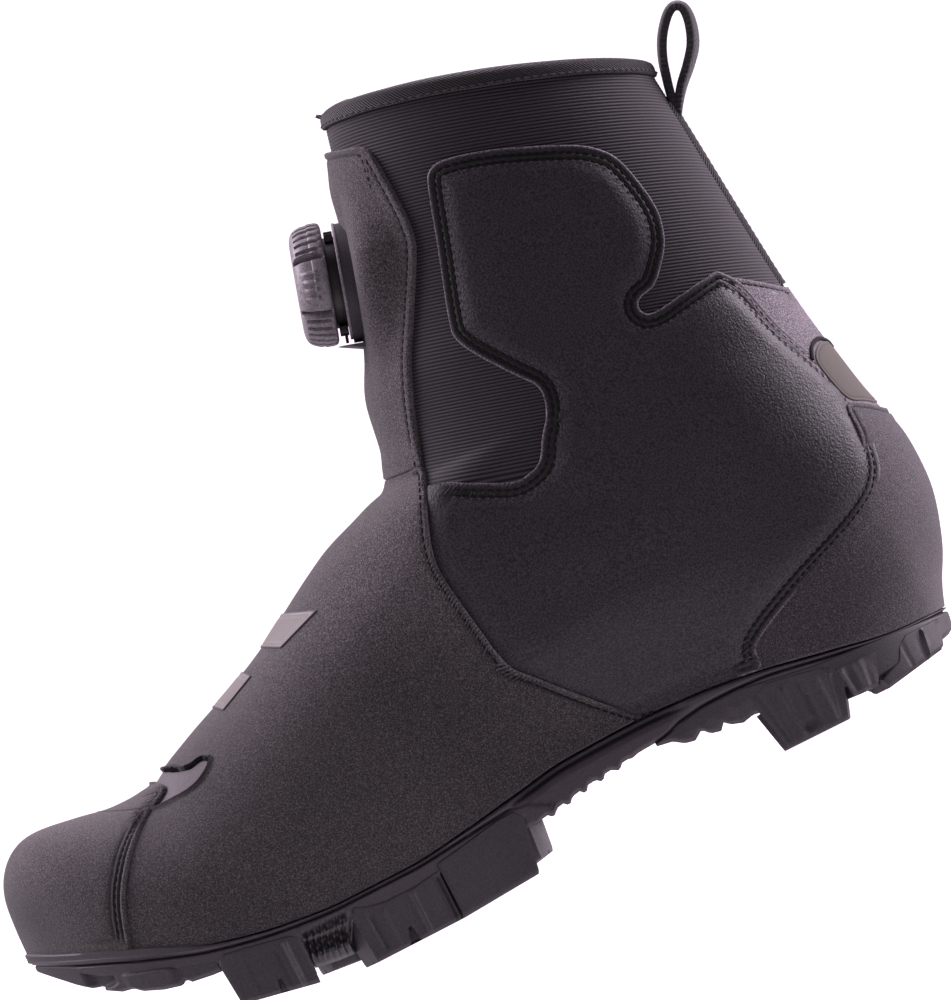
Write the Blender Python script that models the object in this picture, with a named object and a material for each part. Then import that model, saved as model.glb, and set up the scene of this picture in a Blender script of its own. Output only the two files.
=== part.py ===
"""Right winter cycling shoe with a lace dial, as an assembly of separate solids.

Metres, +Z up, toe towards +X, medial side towards +Y, standing on z = 0.
The upper is a height field over the side view: a point's distance from the
centre line follows from the plan outline, the foot's arch and the shaft's
oval. Loops run over it from the feather line up to the collar.
"""
import bpy
import bmesh
import math
from bisect import bisect_right
from mathutils import Vector
from mathutils.bvhtree import BVHTree

# Driving sizes

LENGTH = 0.3010
BALL_WIDTH = 0.1060
HEEL_WIDTH = 0.0750
SHAFT_WIDTH = 0.0740
TOE_HEIGHT = 0.0780
INSTEP_HEIGHT = 0.1222
COLLAR_HEIGHT = 0.2285
BACK_HEIGHT = 0.1985
SOLE_HEIGHT = 0.0290

WALL = 0.0030
GAP = 0.0003
SEAT = 0.0005
OVERLAY_GAP = 0.0008
OVERLAY = 0.0012
FLAP = 0.0015
BINDING = 0.0011

LIP_OUT = 0.0024
LIP_TALL = 0.0020
GROOVE_IN = 0.0004
GROOVE_TALL = 0.0010
BAND_TALL = 0.0012
EDGE_OUT = 0.0016
WRAP = 0.0030
TREAD_WALL = 0.0011
BARE_LEAN = 0.0010
EDGE_ROUND = 0.0002
TREAD_FLARE = 0.0004
LUG_FLARE = 0.0006
WRAP_CLEARANCE = 0.0008
LUG_DRAFT = 0.0016
INSOLE_THICK = 0.0040
INSOLE_TAPER = 0.0020

DIAL_HEIGHT = 0.1830
DIAL_TILT = math.radians(17.2)
DIAL_STAND_OFF = 0.0054
PAD_TAIL = 0.0014
FLANGE_RADIUS = 0.0174
FLANGE_THICK = 0.0009
FLANGE_ROUND = 0.0006
NECK_RADIUS = 0.0135
NECK_TALL = 0.0030
KNOB_RADIUS = 0.0184
KNOB_THICK = 0.0100
GUIDE_WIDTH = 0.0140
GUIDE_REACH = 0.0075
GUIDE_DROP = 0.0205
GUIDE_ROOT = 0.0012
GUIDE_RISE = 0.0016
GUIDE_TIP = 0.0007
LACE_WIDTH = 0.0010
LACE_SPACING = 0.0070

LOOP_HEIGHT = 0.0240
LOOP_WIDTH = 0.0120
WEBBING = 0.0016
STRAP_THICK = 0.0011
STRAP_HALF = 0.0070
STRAP_FOOT = 0.1230
STRAP_TOP = 0.1860

CLEAT_LONG = 0.0380
CLEAT_WIDE = 0.0300
CLEAT_LEVEL = 0.0090
SLOT_LONG = 0.0200
SLOT_WIDE = 0.0055
SLOT_DEEP = 0.0020
SLOT_SPACING = 0.0150
PAD_CLEARANCE = 0.0006

COLUMNS = 40
OVERLAY_FOOT = 0.035

# Side view tables. Along is a share of LENGTH from the heel's back.

# Height is a share of TOE_HEIGHT as far as the toe break, then of INSTEP_HEIGHT.
TOE_RIDGE = (
    # along, height
    (0.9935, 0.622),
    (0.9922, 0.731),
    (0.9880, 0.853),
    (0.9765, 0.936),
    (0.9580, 0.988),
    (0.9350, 1.000),
    (0.8970, 0.979),
    (0.8600, 0.954),
    (0.8200, 0.961),
)
FOOT_RIDGE = (
    # along, height
    (0.7900, 0.649),
    (0.7500, 0.691),
    (0.7000, 0.741),
    (0.6600, 0.787),
    (0.6280, 0.832),
    (0.5640, 0.922),
    (0.5050, 0.975),
    (0.4780, 1.000),
)
# Height is a share of the rise from the instep to the collar.
SHAFT_FRONT = (
    # along, rise
    (0.4604, 0.100),
    (0.4504, 0.240),
    (0.4334, 0.340),
    (0.4204, 0.430),
    (0.4037, 0.580),
    (0.3934, 0.720),
    (0.3869, 0.810),
    (0.3765, 0.895),
    (0.3700, 0.965),
    (0.3640, 1.000),
)
# Height is a share of BACK_HEIGHT.
BACK = (
    # along, height
    (0.0480, 0.086),
    (0.0390, 0.116),
    (0.0185, 0.176),
    (0.0080, 0.247),
    (0.0066, 0.327),
    (0.0118, 0.378),
    (0.0205, 0.428),
    (0.0275, 0.484),
    (0.0365, 0.564),
    (0.0430, 0.645),
    (0.0495, 0.766),
    (0.0555, 0.887),
    (0.0620, 1.000),
)
# Heights are shares of SOLE_HEIGHT: the feather line, and the plate's underside.
FEATHER = (
    # along, height
    (0.0450, 0.586),
    (0.0990, 0.607),
    (0.1650, 0.724),
    (0.2320, 0.860),
    (0.2980, 0.948),
    (0.3650, 0.985),
    (0.4450, 0.965),
    (0.4980, 0.890),
    (0.5640, 0.790),
    (0.6300, 0.724),
    (0.6970, 0.724),
    (0.7635, 0.790),
    (0.8300, 0.940),
    (0.8960, 1.180),
    (0.9300, 1.330),
    (0.9650, 1.490),
    (1.0000, 1.672),
)
UNDERSIDE = (
    # along, height
    (0.0450, 0.380),
    (0.0990, 0.385),
    (0.1650, 0.460),
    (0.2650, 0.640),
    (0.3480, 0.690),
    (0.4200, 0.640),
    (0.4980, 0.520),
    (0.6000, 0.440),
    (0.7000, 0.450),
    (0.8000, 0.600),
    (0.8640, 0.800),
    (0.9300, 1.080),
    (0.9700, 1.330),
    (1.0000, 1.520),
)

# Plan tables. Half widths are shares of BALL_WIDTH, before the ends are rounded.
OUTLINE = (
    # along, medial, lateral
    (0.0000, 0.318, 0.318),
    (0.1650, 0.320, 0.326),
    (0.2650, 0.294, 0.340),
    (0.3400, 0.270, 0.352),
    (0.4650, 0.285, 0.395),
    (0.5300, 0.325, 0.430),
    (0.6300, 0.410, 0.480),
    (0.7000, 0.452, 0.492),
    (0.7500, 0.466, 0.478),
    (0.8200, 0.469, 0.450),
    (0.9000, 0.468, 0.432),
    (1.0000, 0.468, 0.425),
)
# How far the plate's wall stands in under its groove, as a share of WRAP.
BARE_WALL = (
    # along, inset
    (0.0000, 1.0),
    (0.3300, 1.0),
    (0.3700, 0.5),
    (0.4300, 0.4),
    (0.4600, 1.0),
    (1.0000, 1.0),
)
# Half width of the heel and shaft is a share of HEEL_WIDTH, going over to SHAFT_WIDTH.
SHAFT = (
    # height as a share of COLLAR_HEIGHT, half width
    (0.10, 0.490),
    (0.22, 0.515),
    (0.38, 0.520),
    (0.52, 0.500),
    (0.65, 0.492),
    (0.80, 0.500),
    (1.00, 0.520),
)
# Sideways lean of the centre line towards the big toe, as a share of BALL_WIDTH.
CENTRE = (
    # along, lean
    (0.00, 0.000),
    (0.60, 0.000),
    (0.80, 0.020),
    (1.00, 0.042),
)
TOE_ROUND = 0.200
HEEL_ROUND = 0.140
FRONT_ROUND = 0.165
ARCH_POWER = 2.6
OVAL_POWER = 2.1
WALL_BULGE = 0.035

# Loops pair a place on the back with a place on the front, as shares of their lengths.
LOOPS = (
    # name, back share, front share, bands up to the next loop
    ("feather", 0.000, 0.000, 11),
    ("toe_cap", 0.330, 0.255, 9),
    ("instep", 0.580, 0.612, 9),
    ("flap", 0.930, 0.955, 2),
    ("collar", 1.000, 1.000, 0),
)

# Seams in the side view: along and height as shares of LENGTH and COLLAR_HEIGHT.
TOE_SEAM = (
    # height, along
    (0.140, 0.905),
    (0.170, 0.900),
    (0.209, 0.890),
    (0.239, 0.877),
    (0.270, 0.857),
    (0.296, 0.830),
    (0.311, 0.800),
    (0.340, 0.780),
)
FLAP_SEAM = (
    # height, along
    (0.530, 0.434),
    (0.605, 0.418),
    (0.665, 0.398),
    (0.717, 0.375),
    (0.787, 0.345),
    (0.822, 0.338),
    (0.900, 0.338),
    (0.960, 0.342),
)
COUNTER_SEAM = (
    # height, along
    (0.070, 0.232),
    (0.118, 0.232),
    (0.139, 0.225),
    (0.178, 0.165),
    (0.222, 0.079),
    (0.257, 0.046),
    (0.309, 0.036),
    (0.350, 0.034),
)
# The pull loop's middle line: back and up from its foot, as shares of LOOP_HEIGHT.
PULL_LOOP = (
    # back, up
    (-0.010, 0.000),
    (0.040, 0.250),
    (0.110, 0.500),
    (0.230, 0.740),
    (0.400, 0.940),
    (0.530, 1.000),
    (0.620, 0.920),
    (0.610, 0.720),
    (0.520, 0.480),
    (0.360, 0.280),
    (0.190, 0.110),
    (0.105, 0.000),
)
# Lugs: front and back along the shoe, how far in from the edge as a share of
# BALL_WIDTH, and the height of the foot at front and back over SOLE_HEIGHT.
LUGS = (
    # name, side, front, back, inner, low at front, low at back
    ("lug_forefoot_medial_1", 1, 0.832, 0.755, 0.260, 0.250, 0.090),
    ("lug_forefoot_medial_2", 1, 0.697, 0.606, 0.205, 0.000, 0.000),
    ("lug_forefoot_medial_3", 1, 0.603, 0.518, 0.200, 0.000, 0.050),
    ("lug_forefoot_lateral_1", -1, 0.833, 0.772, 0.260, 0.300, 0.140),
    ("lug_forefoot_lateral_2", -1, 0.752, 0.672, 0.225, 0.110, 0.020),
    ("lug_forefoot_lateral_3", -1, 0.655, 0.565, 0.220, 0.000, 0.000),
    ("lug_forefoot_lateral_4", -1, 0.550, 0.496, 0.230, 0.060, 0.170),
    ("lug_heel_medial_1", 1, 0.246, 0.178, 0.270, 0.000, 0.000),
    ("lug_heel_lateral_1", -1, 0.246, 0.178, 0.280, 0.000, 0.000),
    ("lug_heel_medial_2", 1, 0.164, 0.140, 0.220, 0.160, 0.160),
    ("lug_heel_lateral_2", -1, 0.164, 0.140, 0.230, 0.160, 0.160),
    ("lug_heel_medial_3", 1, 0.131, 0.066, 0.270, 0.100, 0.210),
    ("lug_heel_lateral_3", -1, 0.131, 0.066, 0.270, 0.100, 0.210),
)
TOE_TREAD = (
    # along, foot height over SOLE_HEIGHT
    (0.976, 1.290),
    (0.962, 1.150),
    (0.949, 1.045),
    (0.934, 0.945),
    (0.915, 0.840),
    (0.893, 0.740),
    (0.870, 0.690),
    (0.836, 0.650),
)
HEEL_TREAD = (
    # along, foot height over SOLE_HEIGHT
    (0.358, 0.640),
    (0.340, 0.540),
    (0.325, 0.530),
    (0.318, 0.590),
    (0.303, 0.490),
    (0.291, 0.490),
    (0.284, 0.560),
    (0.268, 0.465),
    (0.254, 0.480),
    (0.165, 0.350),
    (0.140, 0.315),
    (0.115, 0.290),
    (0.090, 0.280),
    (0.060, 0.280),
)

PARTS = bpy.data.collections.new("cycling_shoe")
CUTTERS = bpy.data.collections.new("cutters")


# Curves


def column(table, index):
    """One named column of a table, next to its first column."""
    return [(row[0], row[index]) for row in table]


def smooth(pairs, key):
    """Monotone cubic through pairs that rise in their first value."""
    keys = [pair[0] for pair in pairs]
    values = [pair[1] for pair in pairs]
    if key <= keys[0]:
        return values[0]
    if key >= keys[-1]:
        return values[-1]
    i = bisect_right(keys, key) - 1
    slopes = [(values[k + 1] - values[k]) / (keys[k + 1] - keys[k]) for k in range(len(keys) - 1)]

    def tangent(k):
        if k == 0:
            return slopes[0]
        if k == len(keys) - 1:
            return slopes[-1]
        before, after = slopes[k - 1], slopes[k]
        if before * after <= 0.0:
            return 0.0
        return 2.0 * before * after / (before + after)

    span = keys[i + 1] - keys[i]
    s = (key - keys[i]) / span
    return (
        values[i] * (1 + 2 * s) * (1 - s) ** 2
        + tangent(i) * span * s * (1 - s) ** 2
        + values[i + 1] * s * s * (3 - 2 * s)
        + tangent(i + 1) * span * s * s * (s - 1)
    )


def step(low, high, value):
    """Smooth step from 0 at low to 1 at high."""
    s = min(1.0, max(0.0, (value - low) / (high - low)))
    return s * s * (3 - 2 * s)


def rounded(share, power):
    """Half width of a rounded end: 0 at its tip, 1 from its full depth on."""
    left = 1.0 - min(1.0, max(0.0, share))
    return math.sqrt(max(0.0, 1.0 - left ** power))


def at(along):
    """X of a share of the length, measured from the heel's back."""
    return (along - 0.5) * LENGTH


def along_of(x):
    return x / LENGTH + 0.5


def spline(points, per_span=10):
    """Dense Catmull-Rom curve through side view points."""
    dense = []
    last = len(points) - 1
    for i in range(last):
        a = points[max(0, i - 1)]
        b = points[i]
        c = points[i + 1]
        d = points[min(last, i + 2)]
        for k in range(per_span):
            t = k / per_span
            dense.append(tuple(
                0.5 * (2 * b[n] + (c[n] - a[n]) * t
                       + (2 * a[n] - 5 * b[n] + 4 * c[n] - d[n]) * t ** 2
                       + (3 * b[n] - a[n] - 3 * c[n] + d[n]) * t ** 3)
                for n in range(2)
            ))
    dense.append(points[-1])
    return dense


class Profile:
    """A side view curve that is read by share of length, by height or by x."""

    def __init__(self, points):
        self.points = spline(points)
        self.run = [0.0]
        for a, b in zip(self.points, self.points[1:]):
            self.run.append(self.run[-1] + math.dist(a, b))

    def at_share(self, share):
        return self.at_run(share * self.run[-1])

    def at_run(self, run):
        i = min(max(bisect_right(self.run, run) - 1, 0), len(self.points) - 2)
        s = (run - self.run[i]) / (self.run[i + 1] - self.run[i])
        a, b = self.points[i], self.points[i + 1]
        return (a[0] + (b[0] - a[0]) * s, a[1] + (b[1] - a[1]) * s)


def feather_z(x):
    return smooth(FEATHER, along_of(x)) * SOLE_HEIGHT


def footed(table, height):
    """A table's side view points, with its first one on the feather line and its last at its height."""
    foot_x, foot = at(table[0][0]), table[0][1]
    moved = feather_z(foot_x) - foot * height
    return [(at(a), h * height + moved * (1 - h) / (1 - foot)) for a, h in table]


RIDGE = Profile(
    footed(TOE_RIDGE, TOE_HEIGHT)
    + [(at(a), h * INSTEP_HEIGHT) for a, h in FOOT_RIDGE]
    + [(at(a), INSTEP_HEIGHT + h * (COLLAR_HEIGHT - INSTEP_HEIGHT)) for a, h in SHAFT_FRONT]
)
HEEL_BACK = Profile(footed(BACK, BACK_HEIGHT))
TOE_TIP = RIDGE.points[0][0]


def by_x(points):
    """The curve as rising pairs of x and height."""
    pairs = []
    for x, z in sorted(points):
        if not pairs or x > pairs[-1][0] + 1e-6:
            pairs.append((x, z))
    return pairs


def by_height(points):
    """The curve as rising pairs of height and x."""
    pairs = []
    for x, z in points:
        if not pairs or z > pairs[-1][0] + 1e-6:
            pairs.append((z, x))
    return pairs


def line(pairs, key):
    """Straight lines between rising pairs."""
    keys = [pair[0] for pair in pairs]
    i = min(max(bisect_right(keys, key) - 1, 0), len(pairs) - 2)
    a, b = pairs[i], pairs[i + 1]
    s = min(1.0, max(0.0, (key - a[0]) / (b[0] - a[0])))
    return a[1] + (b[1] - a[1]) * s


RIDGE_BY_X = by_x(RIDGE.points)
VAMP_BREAK = at(FOOT_RIDGE[0][0])
RIDGE_BY_HEIGHT = by_height([p for p in RIDGE.points if p[0] < VAMP_BREAK])
BACK_BY_HEIGHT = by_height(HEEL_BACK.points)


def ridge_z(x):
    return line(RIDGE_BY_X, x)


def front_x(z):
    if z < RIDGE_BY_HEIGHT[0][0]:
        return RIDGE_BY_HEIGHT[0][1]
    return line(RIDGE_BY_HEIGHT, z)


def back_x(z):
    return line(BACK_BY_HEIGHT, z)


def underside_z(x):
    return smooth(UNDERSIDE, along_of(x)) * SOLE_HEIGHT


def centre_y(x):
    return smooth(CENTRE, along_of(x)) * BALL_WIDTH


# The upper's form


def half_width(x, z, side):
    """Distance of the upper's outside from its centre line, at a side view point."""
    along = along_of(x)
    plan = smooth(column(OUTLINE, 1 if side > 0 else 2), along) * BALL_WIDTH
    plan *= rounded((TOE_TIP - x) / (TOE_ROUND * LENGTH), 2.0)
    low = feather_z(x)
    width = HEEL_WIDTH + (SHAFT_WIDTH - HEEL_WIDTH) * step(0.0, 1.0, z / COLLAR_HEIGHT)
    shaft = smooth(SHAFT, z / COLLAR_HEIGHT) * width
    raised = step(0.0, 0.16 * COLLAR_HEIGHT, z - low) * step(0.62, 0.40, along)
    wall = plan + (shaft - plan) * raised
    rise = min(1.0, max(0.0, (z - low) / max(1e-6, ridge_z(x) - low)))
    arch = math.sqrt(max(0.0, 1.0 - rise ** ARCH_POWER))
    arch *= 1.0 + WALL_BULGE * math.sin(math.pi * rise)
    oval = rounded((front_x(z) - x) / (FRONT_ROUND * LENGTH), OVAL_POWER)
    upright = step(0.62, 0.46, along)
    heel = rounded((x - back_x(z)) / (HEEL_ROUND * LENGTH), OVAL_POWER)
    return wall * heel * (arch + (oval - arch) * upright)


def loop_path(level, t):
    """Side view point of a loop: t runs from the back to the front."""
    i = min(int(level), len(LOOPS) - 2)
    s = level - i
    low, high = LOOPS[i], LOOPS[i + 1]
    back = HEEL_BACK.at_share(low[1] + (high[1] - low[1]) * s)
    front_share = low[2] + (high[2] - low[2]) * s
    front = RIDGE.at_share(front_share)
    x = back[0] + (front[0] - back[0]) * t
    z = back[1] + (front[1] - back[1]) * t
    foot_back = HEEL_BACK.points[0]
    foot_front = RIDGE.points[0]
    foot_x = foot_back[0] + (foot_front[0] - foot_back[0]) * t
    chord = foot_back[1] + (foot_front[1] - foot_back[1]) * t
    start = feather_z(foot_back[0]) - foot_back[1]
    end = feather_z(foot_front[0]) - foot_front[1]
    wave = feather_z(foot_x) - chord - start * (1 - t) - end * t
    return x, z + wave * max(0.0, 1.0 - front_share / 0.75)


def skin(angle, level, out=0.0):
    """Point of the upper's outside, moved out along its normal.

    The angle runs from 0 at the heel over pi / 2 on the medial side to pi at the front.
    """
    def place(a, v):
        x, z = loop_path(v, (1 - math.cos(a)) / 2)
        side = 1 if math.sin(a) >= 0 else -1
        y = centre_y(x) + side * half_width(x, z, side)
        return Vector((x, y, z))

    point = place(angle, level)
    if out == 0.0:
        return point
    small = 0.004
    low = max(0.0, level - small)
    high = min(len(LOOPS) - 1.0, level + small)
    around = place(angle + small, level) - place(angle - small, level)
    upward = place(angle, high) - place(angle, low)
    normal = upward.cross(around).normalized()
    return point + normal * out


def angle_at(level, t):
    return math.acos(1 - 2 * min(1.0, max(0.0, t)))


def seam_angle(level, seam):
    """Angle where a loop crosses a seam of the side view, on the medial side."""
    def ahead(t):
        x, z = loop_path(level, t)
        return along_of(x) - smooth(seam, z / COLLAR_HEIGHT)

    low, high = 0.0, 1.0
    for _ in range(40):
        middle = (low + high) / 2
        if ahead(middle) < 0:
            low = middle
        else:
            high = middle
    return angle_at(level, (low + high) / 2)


def levels(first, last):
    """Loop levels from one named loop to another, in that stretch's own bands."""
    names = [loop[0] for loop in LOOPS]
    rows = []
    for i in range(names.index(first), names.index(last)):
        bands = LOOPS[i][3]
        rows += [i + k / bands for k in range(bands)]
    rows.append(float(names.index(last)))
    return rows


# Making objects


def clear_scene():
    for obj in list(bpy.data.objects):
        bpy.data.objects.remove(obj, do_unlink=True)
    bpy.context.scene.collection.children.link(PARTS)
    bpy.context.scene.collection.children.link(CUTTERS)


def material(name, colour, roughness, metallic=0.0):
    made = bpy.data.materials.new(name)
    made.use_nodes = True
    shader = made.node_tree.nodes["Principled BSDF"]
    shader.inputs["Base Color"].default_value = (*colour, 1.0)
    shader.inputs["Roughness"].default_value = roughness
    shader.inputs["Metallic"].default_value = metallic
    return made


def add(name, bm, finish, collection=None):
    """Closes a mesh into an object, faces outwards, round parts smooth."""
    bmesh.ops.recalc_face_normals(bm, faces=bm.faces)
    mesh = bpy.data.meshes.new(name)
    bm.to_mesh(mesh)
    bm.free()
    if finish:
        mesh.materials.append(finish)
    mesh.shade_smooth()
    mesh.set_sharp_from_angle(angle=math.radians(40))
    obj = bpy.data.objects.new(name, mesh)
    (collection or PARTS).objects.link(obj)
    return obj


def loft(rings, closed=False, capped=True):
    """Faces between rings of as many points each; closed joins the last to the first."""
    bm = bmesh.new()
    made = [[bm.verts.new(point) for point in ring] for ring in rings]
    pairs = list(zip(made, made[1:]))
    if closed:
        pairs.append((made[-1], made[0]))
    for low, high in pairs:
        count = len(low)
        for k in range(count):
            after = (k + 1) % count
            bm.faces.new((low[k], low[after], high[after], high[k]))
    if capped and not closed:
        bm.faces.new(made[0])
        bm.faces.new(made[-1])
    return bm


def overlay(name, rows, reach, columns, inner, outer, finish):
    """A sheet over the skin: reach(level) gives its first and last angle."""
    rings = []
    for level in rows:
        first, last = reach(level)
        angles = [first + (last - first) * k / columns for k in range(columns + 1)]
        outside = [skin(a, level, outer) for a in angles]
        inside = [skin(a, level, inner) for a in reversed(angles)]
        rings.append(outside + inside)
    bm = loft(rings, capped=False)
    bm.verts.ensure_lookup_table()
    size = 2 * (columns + 1)
    for start in (0, len(bm.verts) - size):
        for k in range(columns):
            a, b = start + k, start + k + 1
            c, d = start + size - 2 - k, start + size - 1 - k
            bm.faces.new((bm.verts[a], bm.verts[b], bm.verts[c], bm.verts[d]))
    return add(name, bm, finish)


# Upper and what is sewn to it


def make_upper(finish):
    rows = levels("feather", "collar")
    angles = [2 * math.pi * k / COLUMNS for k in range(COLUMNS)]
    outside = [[skin(a, level) for a in angles] for level in rows]
    inside = [[skin(a, level, -WALL) for a in angles] for level in reversed(rows)]
    return add("upper", loft(outside + inside, closed=True), finish)


def make_overlays(fabric, grip):
    def toe(level):
        start = seam_angle(level, TOE_SEAM)
        return start, 2 * math.pi - start

    def flap(level):
        start = seam_angle(level, FLAP_SEAM)
        return start, 2 * math.pi - start

    def counter(level):
        end = seam_angle(level, COUNTER_SEAM)
        return -end, end

    low_rows = [OVERLAY_FOOT] + levels("feather", "toe_cap")[1:]
    thin = (OVERLAY_GAP, OVERLAY_GAP + OVERLAY)
    overlay("toe_cap", low_rows, toe, 14, *thin, fabric)
    overlay("heel_counter", low_rows, counter, 14, *thin, grip)
    thick = (OVERLAY_GAP, OVERLAY_GAP + FLAP)
    overlay("front_flap", levels("instep", "flap"), flap, 16, *thick, fabric)


def make_binding(finish):
    """A folded band that holds the collar's edge from both sides."""
    top = float(len(LOOPS) - 1)
    foot = top - 0.5
    under = 2 * GAP
    outer = under + BINDING
    angles = [2 * math.pi * k / COLUMNS for k in range(COLUMNS)]
    lift = Vector((0, 0, 1))
    section = (
        # level, out, up
        (foot, OVERLAY_GAP, 0.0),
        (foot, OVERLAY_GAP + BINDING, 0.0),
        (top, OVERLAY_GAP + BINDING, outer),
        (top, -WALL - OVERLAY_GAP - BINDING, outer),
        (foot, -WALL - OVERLAY_GAP - BINDING, 0.0),
        (foot, -WALL - OVERLAY_GAP, 0.0),
        (top, -WALL - OVERLAY_GAP, under),
        (top, OVERLAY_GAP, under),
    )
    rings = [[skin(a, level, out) + lift * up for a in angles] for level, out, up in section]
    return add("collar_binding", loft(rings, closed=True), finish)


def level_of_back(z):
    """Loop level whose back lies at a height."""
    low, high = 0.0, float(len(LOOPS) - 1)
    for _ in range(40):
        middle = (low + high) / 2
        if loop_path(middle, 0.0)[1] < z:
            low = middle
        else:
            high = middle
    return low


def make_webbing(finish):
    first, last = level_of_back(STRAP_FOOT), level_of_back(STRAP_TOP)
    rows = [first + (last - first) * k / 8 for k in range(9)]

    def reach(level):
        back = loop_path(level, 0.0)
        half = STRAP_HALF / (0.5 * HEEL_WIDTH)
        deep = HEEL_ROUND * LENGTH * (1 - math.sqrt(1 - half ** 2))
        front = loop_path(level, 1.0)
        angle = angle_at(level, deep / (front[0] - back[0]))
        return -angle, angle

    overlay("back_strap", rows, reach, 4, OVERLAY_GAP, OVERLAY_GAP + STRAP_THICK, finish)

    foot_z = STRAP_TOP + 0.4 * WEBBING
    foot_x = back_x(foot_z) - OVERLAY_GAP - 0.5 * WEBBING
    path = spline([(foot_x - b * LOOP_HEIGHT, foot_z + u * LOOP_HEIGHT) for b, u in PULL_LOOP], 2)
    rings = []
    for i, point in enumerate(path):
        before = path[max(0, i - 1)]
        after = path[min(len(path) - 1, i + 1)]
        run = math.dist(before, after)
        side = ((after[1] - before[1]) / run, -(after[0] - before[0]) / run)
        if i in (0, len(path) - 1):
            side = (math.copysign(1.0, side[0]), 0.0)
        ring = []
        for out, wide in ((1, 1), (1, -1), (-1, -1), (-1, 1)):
            ring.append((
                point[0] + side[0] * out * WEBBING / 2,
                wide * LOOP_WIDTH / 2,
                point[1] + side[1] * out * WEBBING / 2,
            ))
        rings.append(ring)
    add("pull_loop", loft(rings), finish)


# Sole


def outline(out, low=0.0, count=72):
    """Ring around the sole at the feather line, moved out in plan and down."""
    ring = []
    small = 0.01
    for k in range(count):
        a = 2 * math.pi * k / count
        here = skin(a, 0.0)
        ahead = skin(a + small, 0.0) - skin(a - small, 0.0)
        normal = Vector((ahead.y, -ahead.x, 0.0)).normalized()
        inset = out(here.x) if callable(out) else out
        point = here - normal * inset
        drop = low(here.x) if callable(low) else feather_z(here.x) - low
        ring.append(Vector((point.x, point.y, drop)))
    return ring


def ladder(bm, ring, count):
    """Closes a ring that is the same on both sides with quads from side to side."""
    for k in range(1, count // 2 - 1):
        bm.faces.new((ring[k], ring[k + 1], ring[count - k - 1], ring[count - k]))
    bm.faces.new((ring[0], ring[1], ring[count - 1]))
    half = count // 2
    bm.faces.new((ring[half - 1], ring[half], ring[half + 1]))


def capped_loft(rings):
    bm = loft(rings, capped=False)
    bm.verts.ensure_lookup_table()
    count = len(rings[0])
    for start in (0, len(bm.verts) - count):
        ladder(bm, bm.verts[start:start + count], count)
    return bm


def bare_inset(x):
    """How far the plate's wall stands in under its groove."""
    return smooth(BARE_WALL, along_of(x)) * WRAP + 1.4 * GAP


def make_plate(finish):
    lip = SEAT + LIP_TALL
    groove = lip + GROOVE_TALL
    band = groove + BAND_TALL
    rings = (
        outline(LIP_OUT * 0.7, SEAT),
        outline(LIP_OUT, SEAT + 0.3 * LIP_TALL),
        outline(LIP_OUT * 0.8, lip),
        outline(-GROOVE_IN, lip + 0.2 * GROOVE_TALL),
        outline(-GROOVE_IN, groove),
        outline(EDGE_OUT, groove + 0.2 * GROOVE_TALL),
        outline(EDGE_OUT - EDGE_ROUND, band),
        outline(lambda x: EDGE_OUT - bare_inset(x), band + 2 * EDGE_ROUND),
        outline(lambda x: EDGE_OUT - bare_inset(x) - BARE_LEAN, underside_z),
    )
    return add("sole_plate", capped_loft(rings), finish)


def make_insole(finish):
    inset = WALL + 2 * GAP
    rings = (
        outline(-inset, -GAP, COLUMNS),
        outline(-inset - 0.2 * INSOLE_TAPER, -GAP - 0.4 * INSOLE_THICK, COLUMNS),
        outline(-inset - INSOLE_TAPER, -GAP - INSOLE_THICK, COLUMNS),
    )
    return add("insole", capped_loft(rings), finish)


def edge_y(x, side, inset):
    """The sole's edge at x, moved in towards the centre line."""
    return centre_y(x) + side * (half_width(x, feather_z(x), side) + EDGE_OUT - inset)


def wrap_z(x):
    """How high a lug or tread reaches up the plate's wall."""
    return feather_z(x) - SEAT - LIP_TALL - GROOVE_TALL - BAND_TALL - WRAP_CLEARANCE


def make_lug(row, finish):
    """A block under the plate whose outer wall reaches up past the plate's edge."""
    name, side, front, back, inner, low_front, low_back = row
    steps = 4
    rings = []
    for k in range(steps + 1):
        s = k / steps
        x = at(front + (back - front) * s)
        foot = (low_front + (low_back - low_front) * s) * SOLE_HEIGHT
        top = underside_z(x) - GAP
        wrap = min(wrap_z(x), top + 0.5 * SOLE_HEIGHT)
        beside_pad = abs(edge_y(x, side, 0.0) - centre_y(x)) - CLEAT_WIDE / 2
        deep = min(inner * BALL_WIDTH, beside_pad - LUG_DRAFT - PAD_CLEARANCE)
        section = (
            # inset, height
            (EDGE_ROUND, wrap),
            (-LUG_FLARE, wrap - LUG_DRAFT),
            (0.0000, foot + LUG_DRAFT),
            (LUG_DRAFT, foot),
            (deep - LUG_DRAFT, foot),
            (deep, foot + LUG_DRAFT),
            (deep + LUG_DRAFT, top),
            (WRAP, top),
            (WRAP, wrap),
        )
        rings.append([(x, edge_y(x, side, inset), z) for inset, z in section])
    return add(name, loft(rings), finish)


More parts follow.
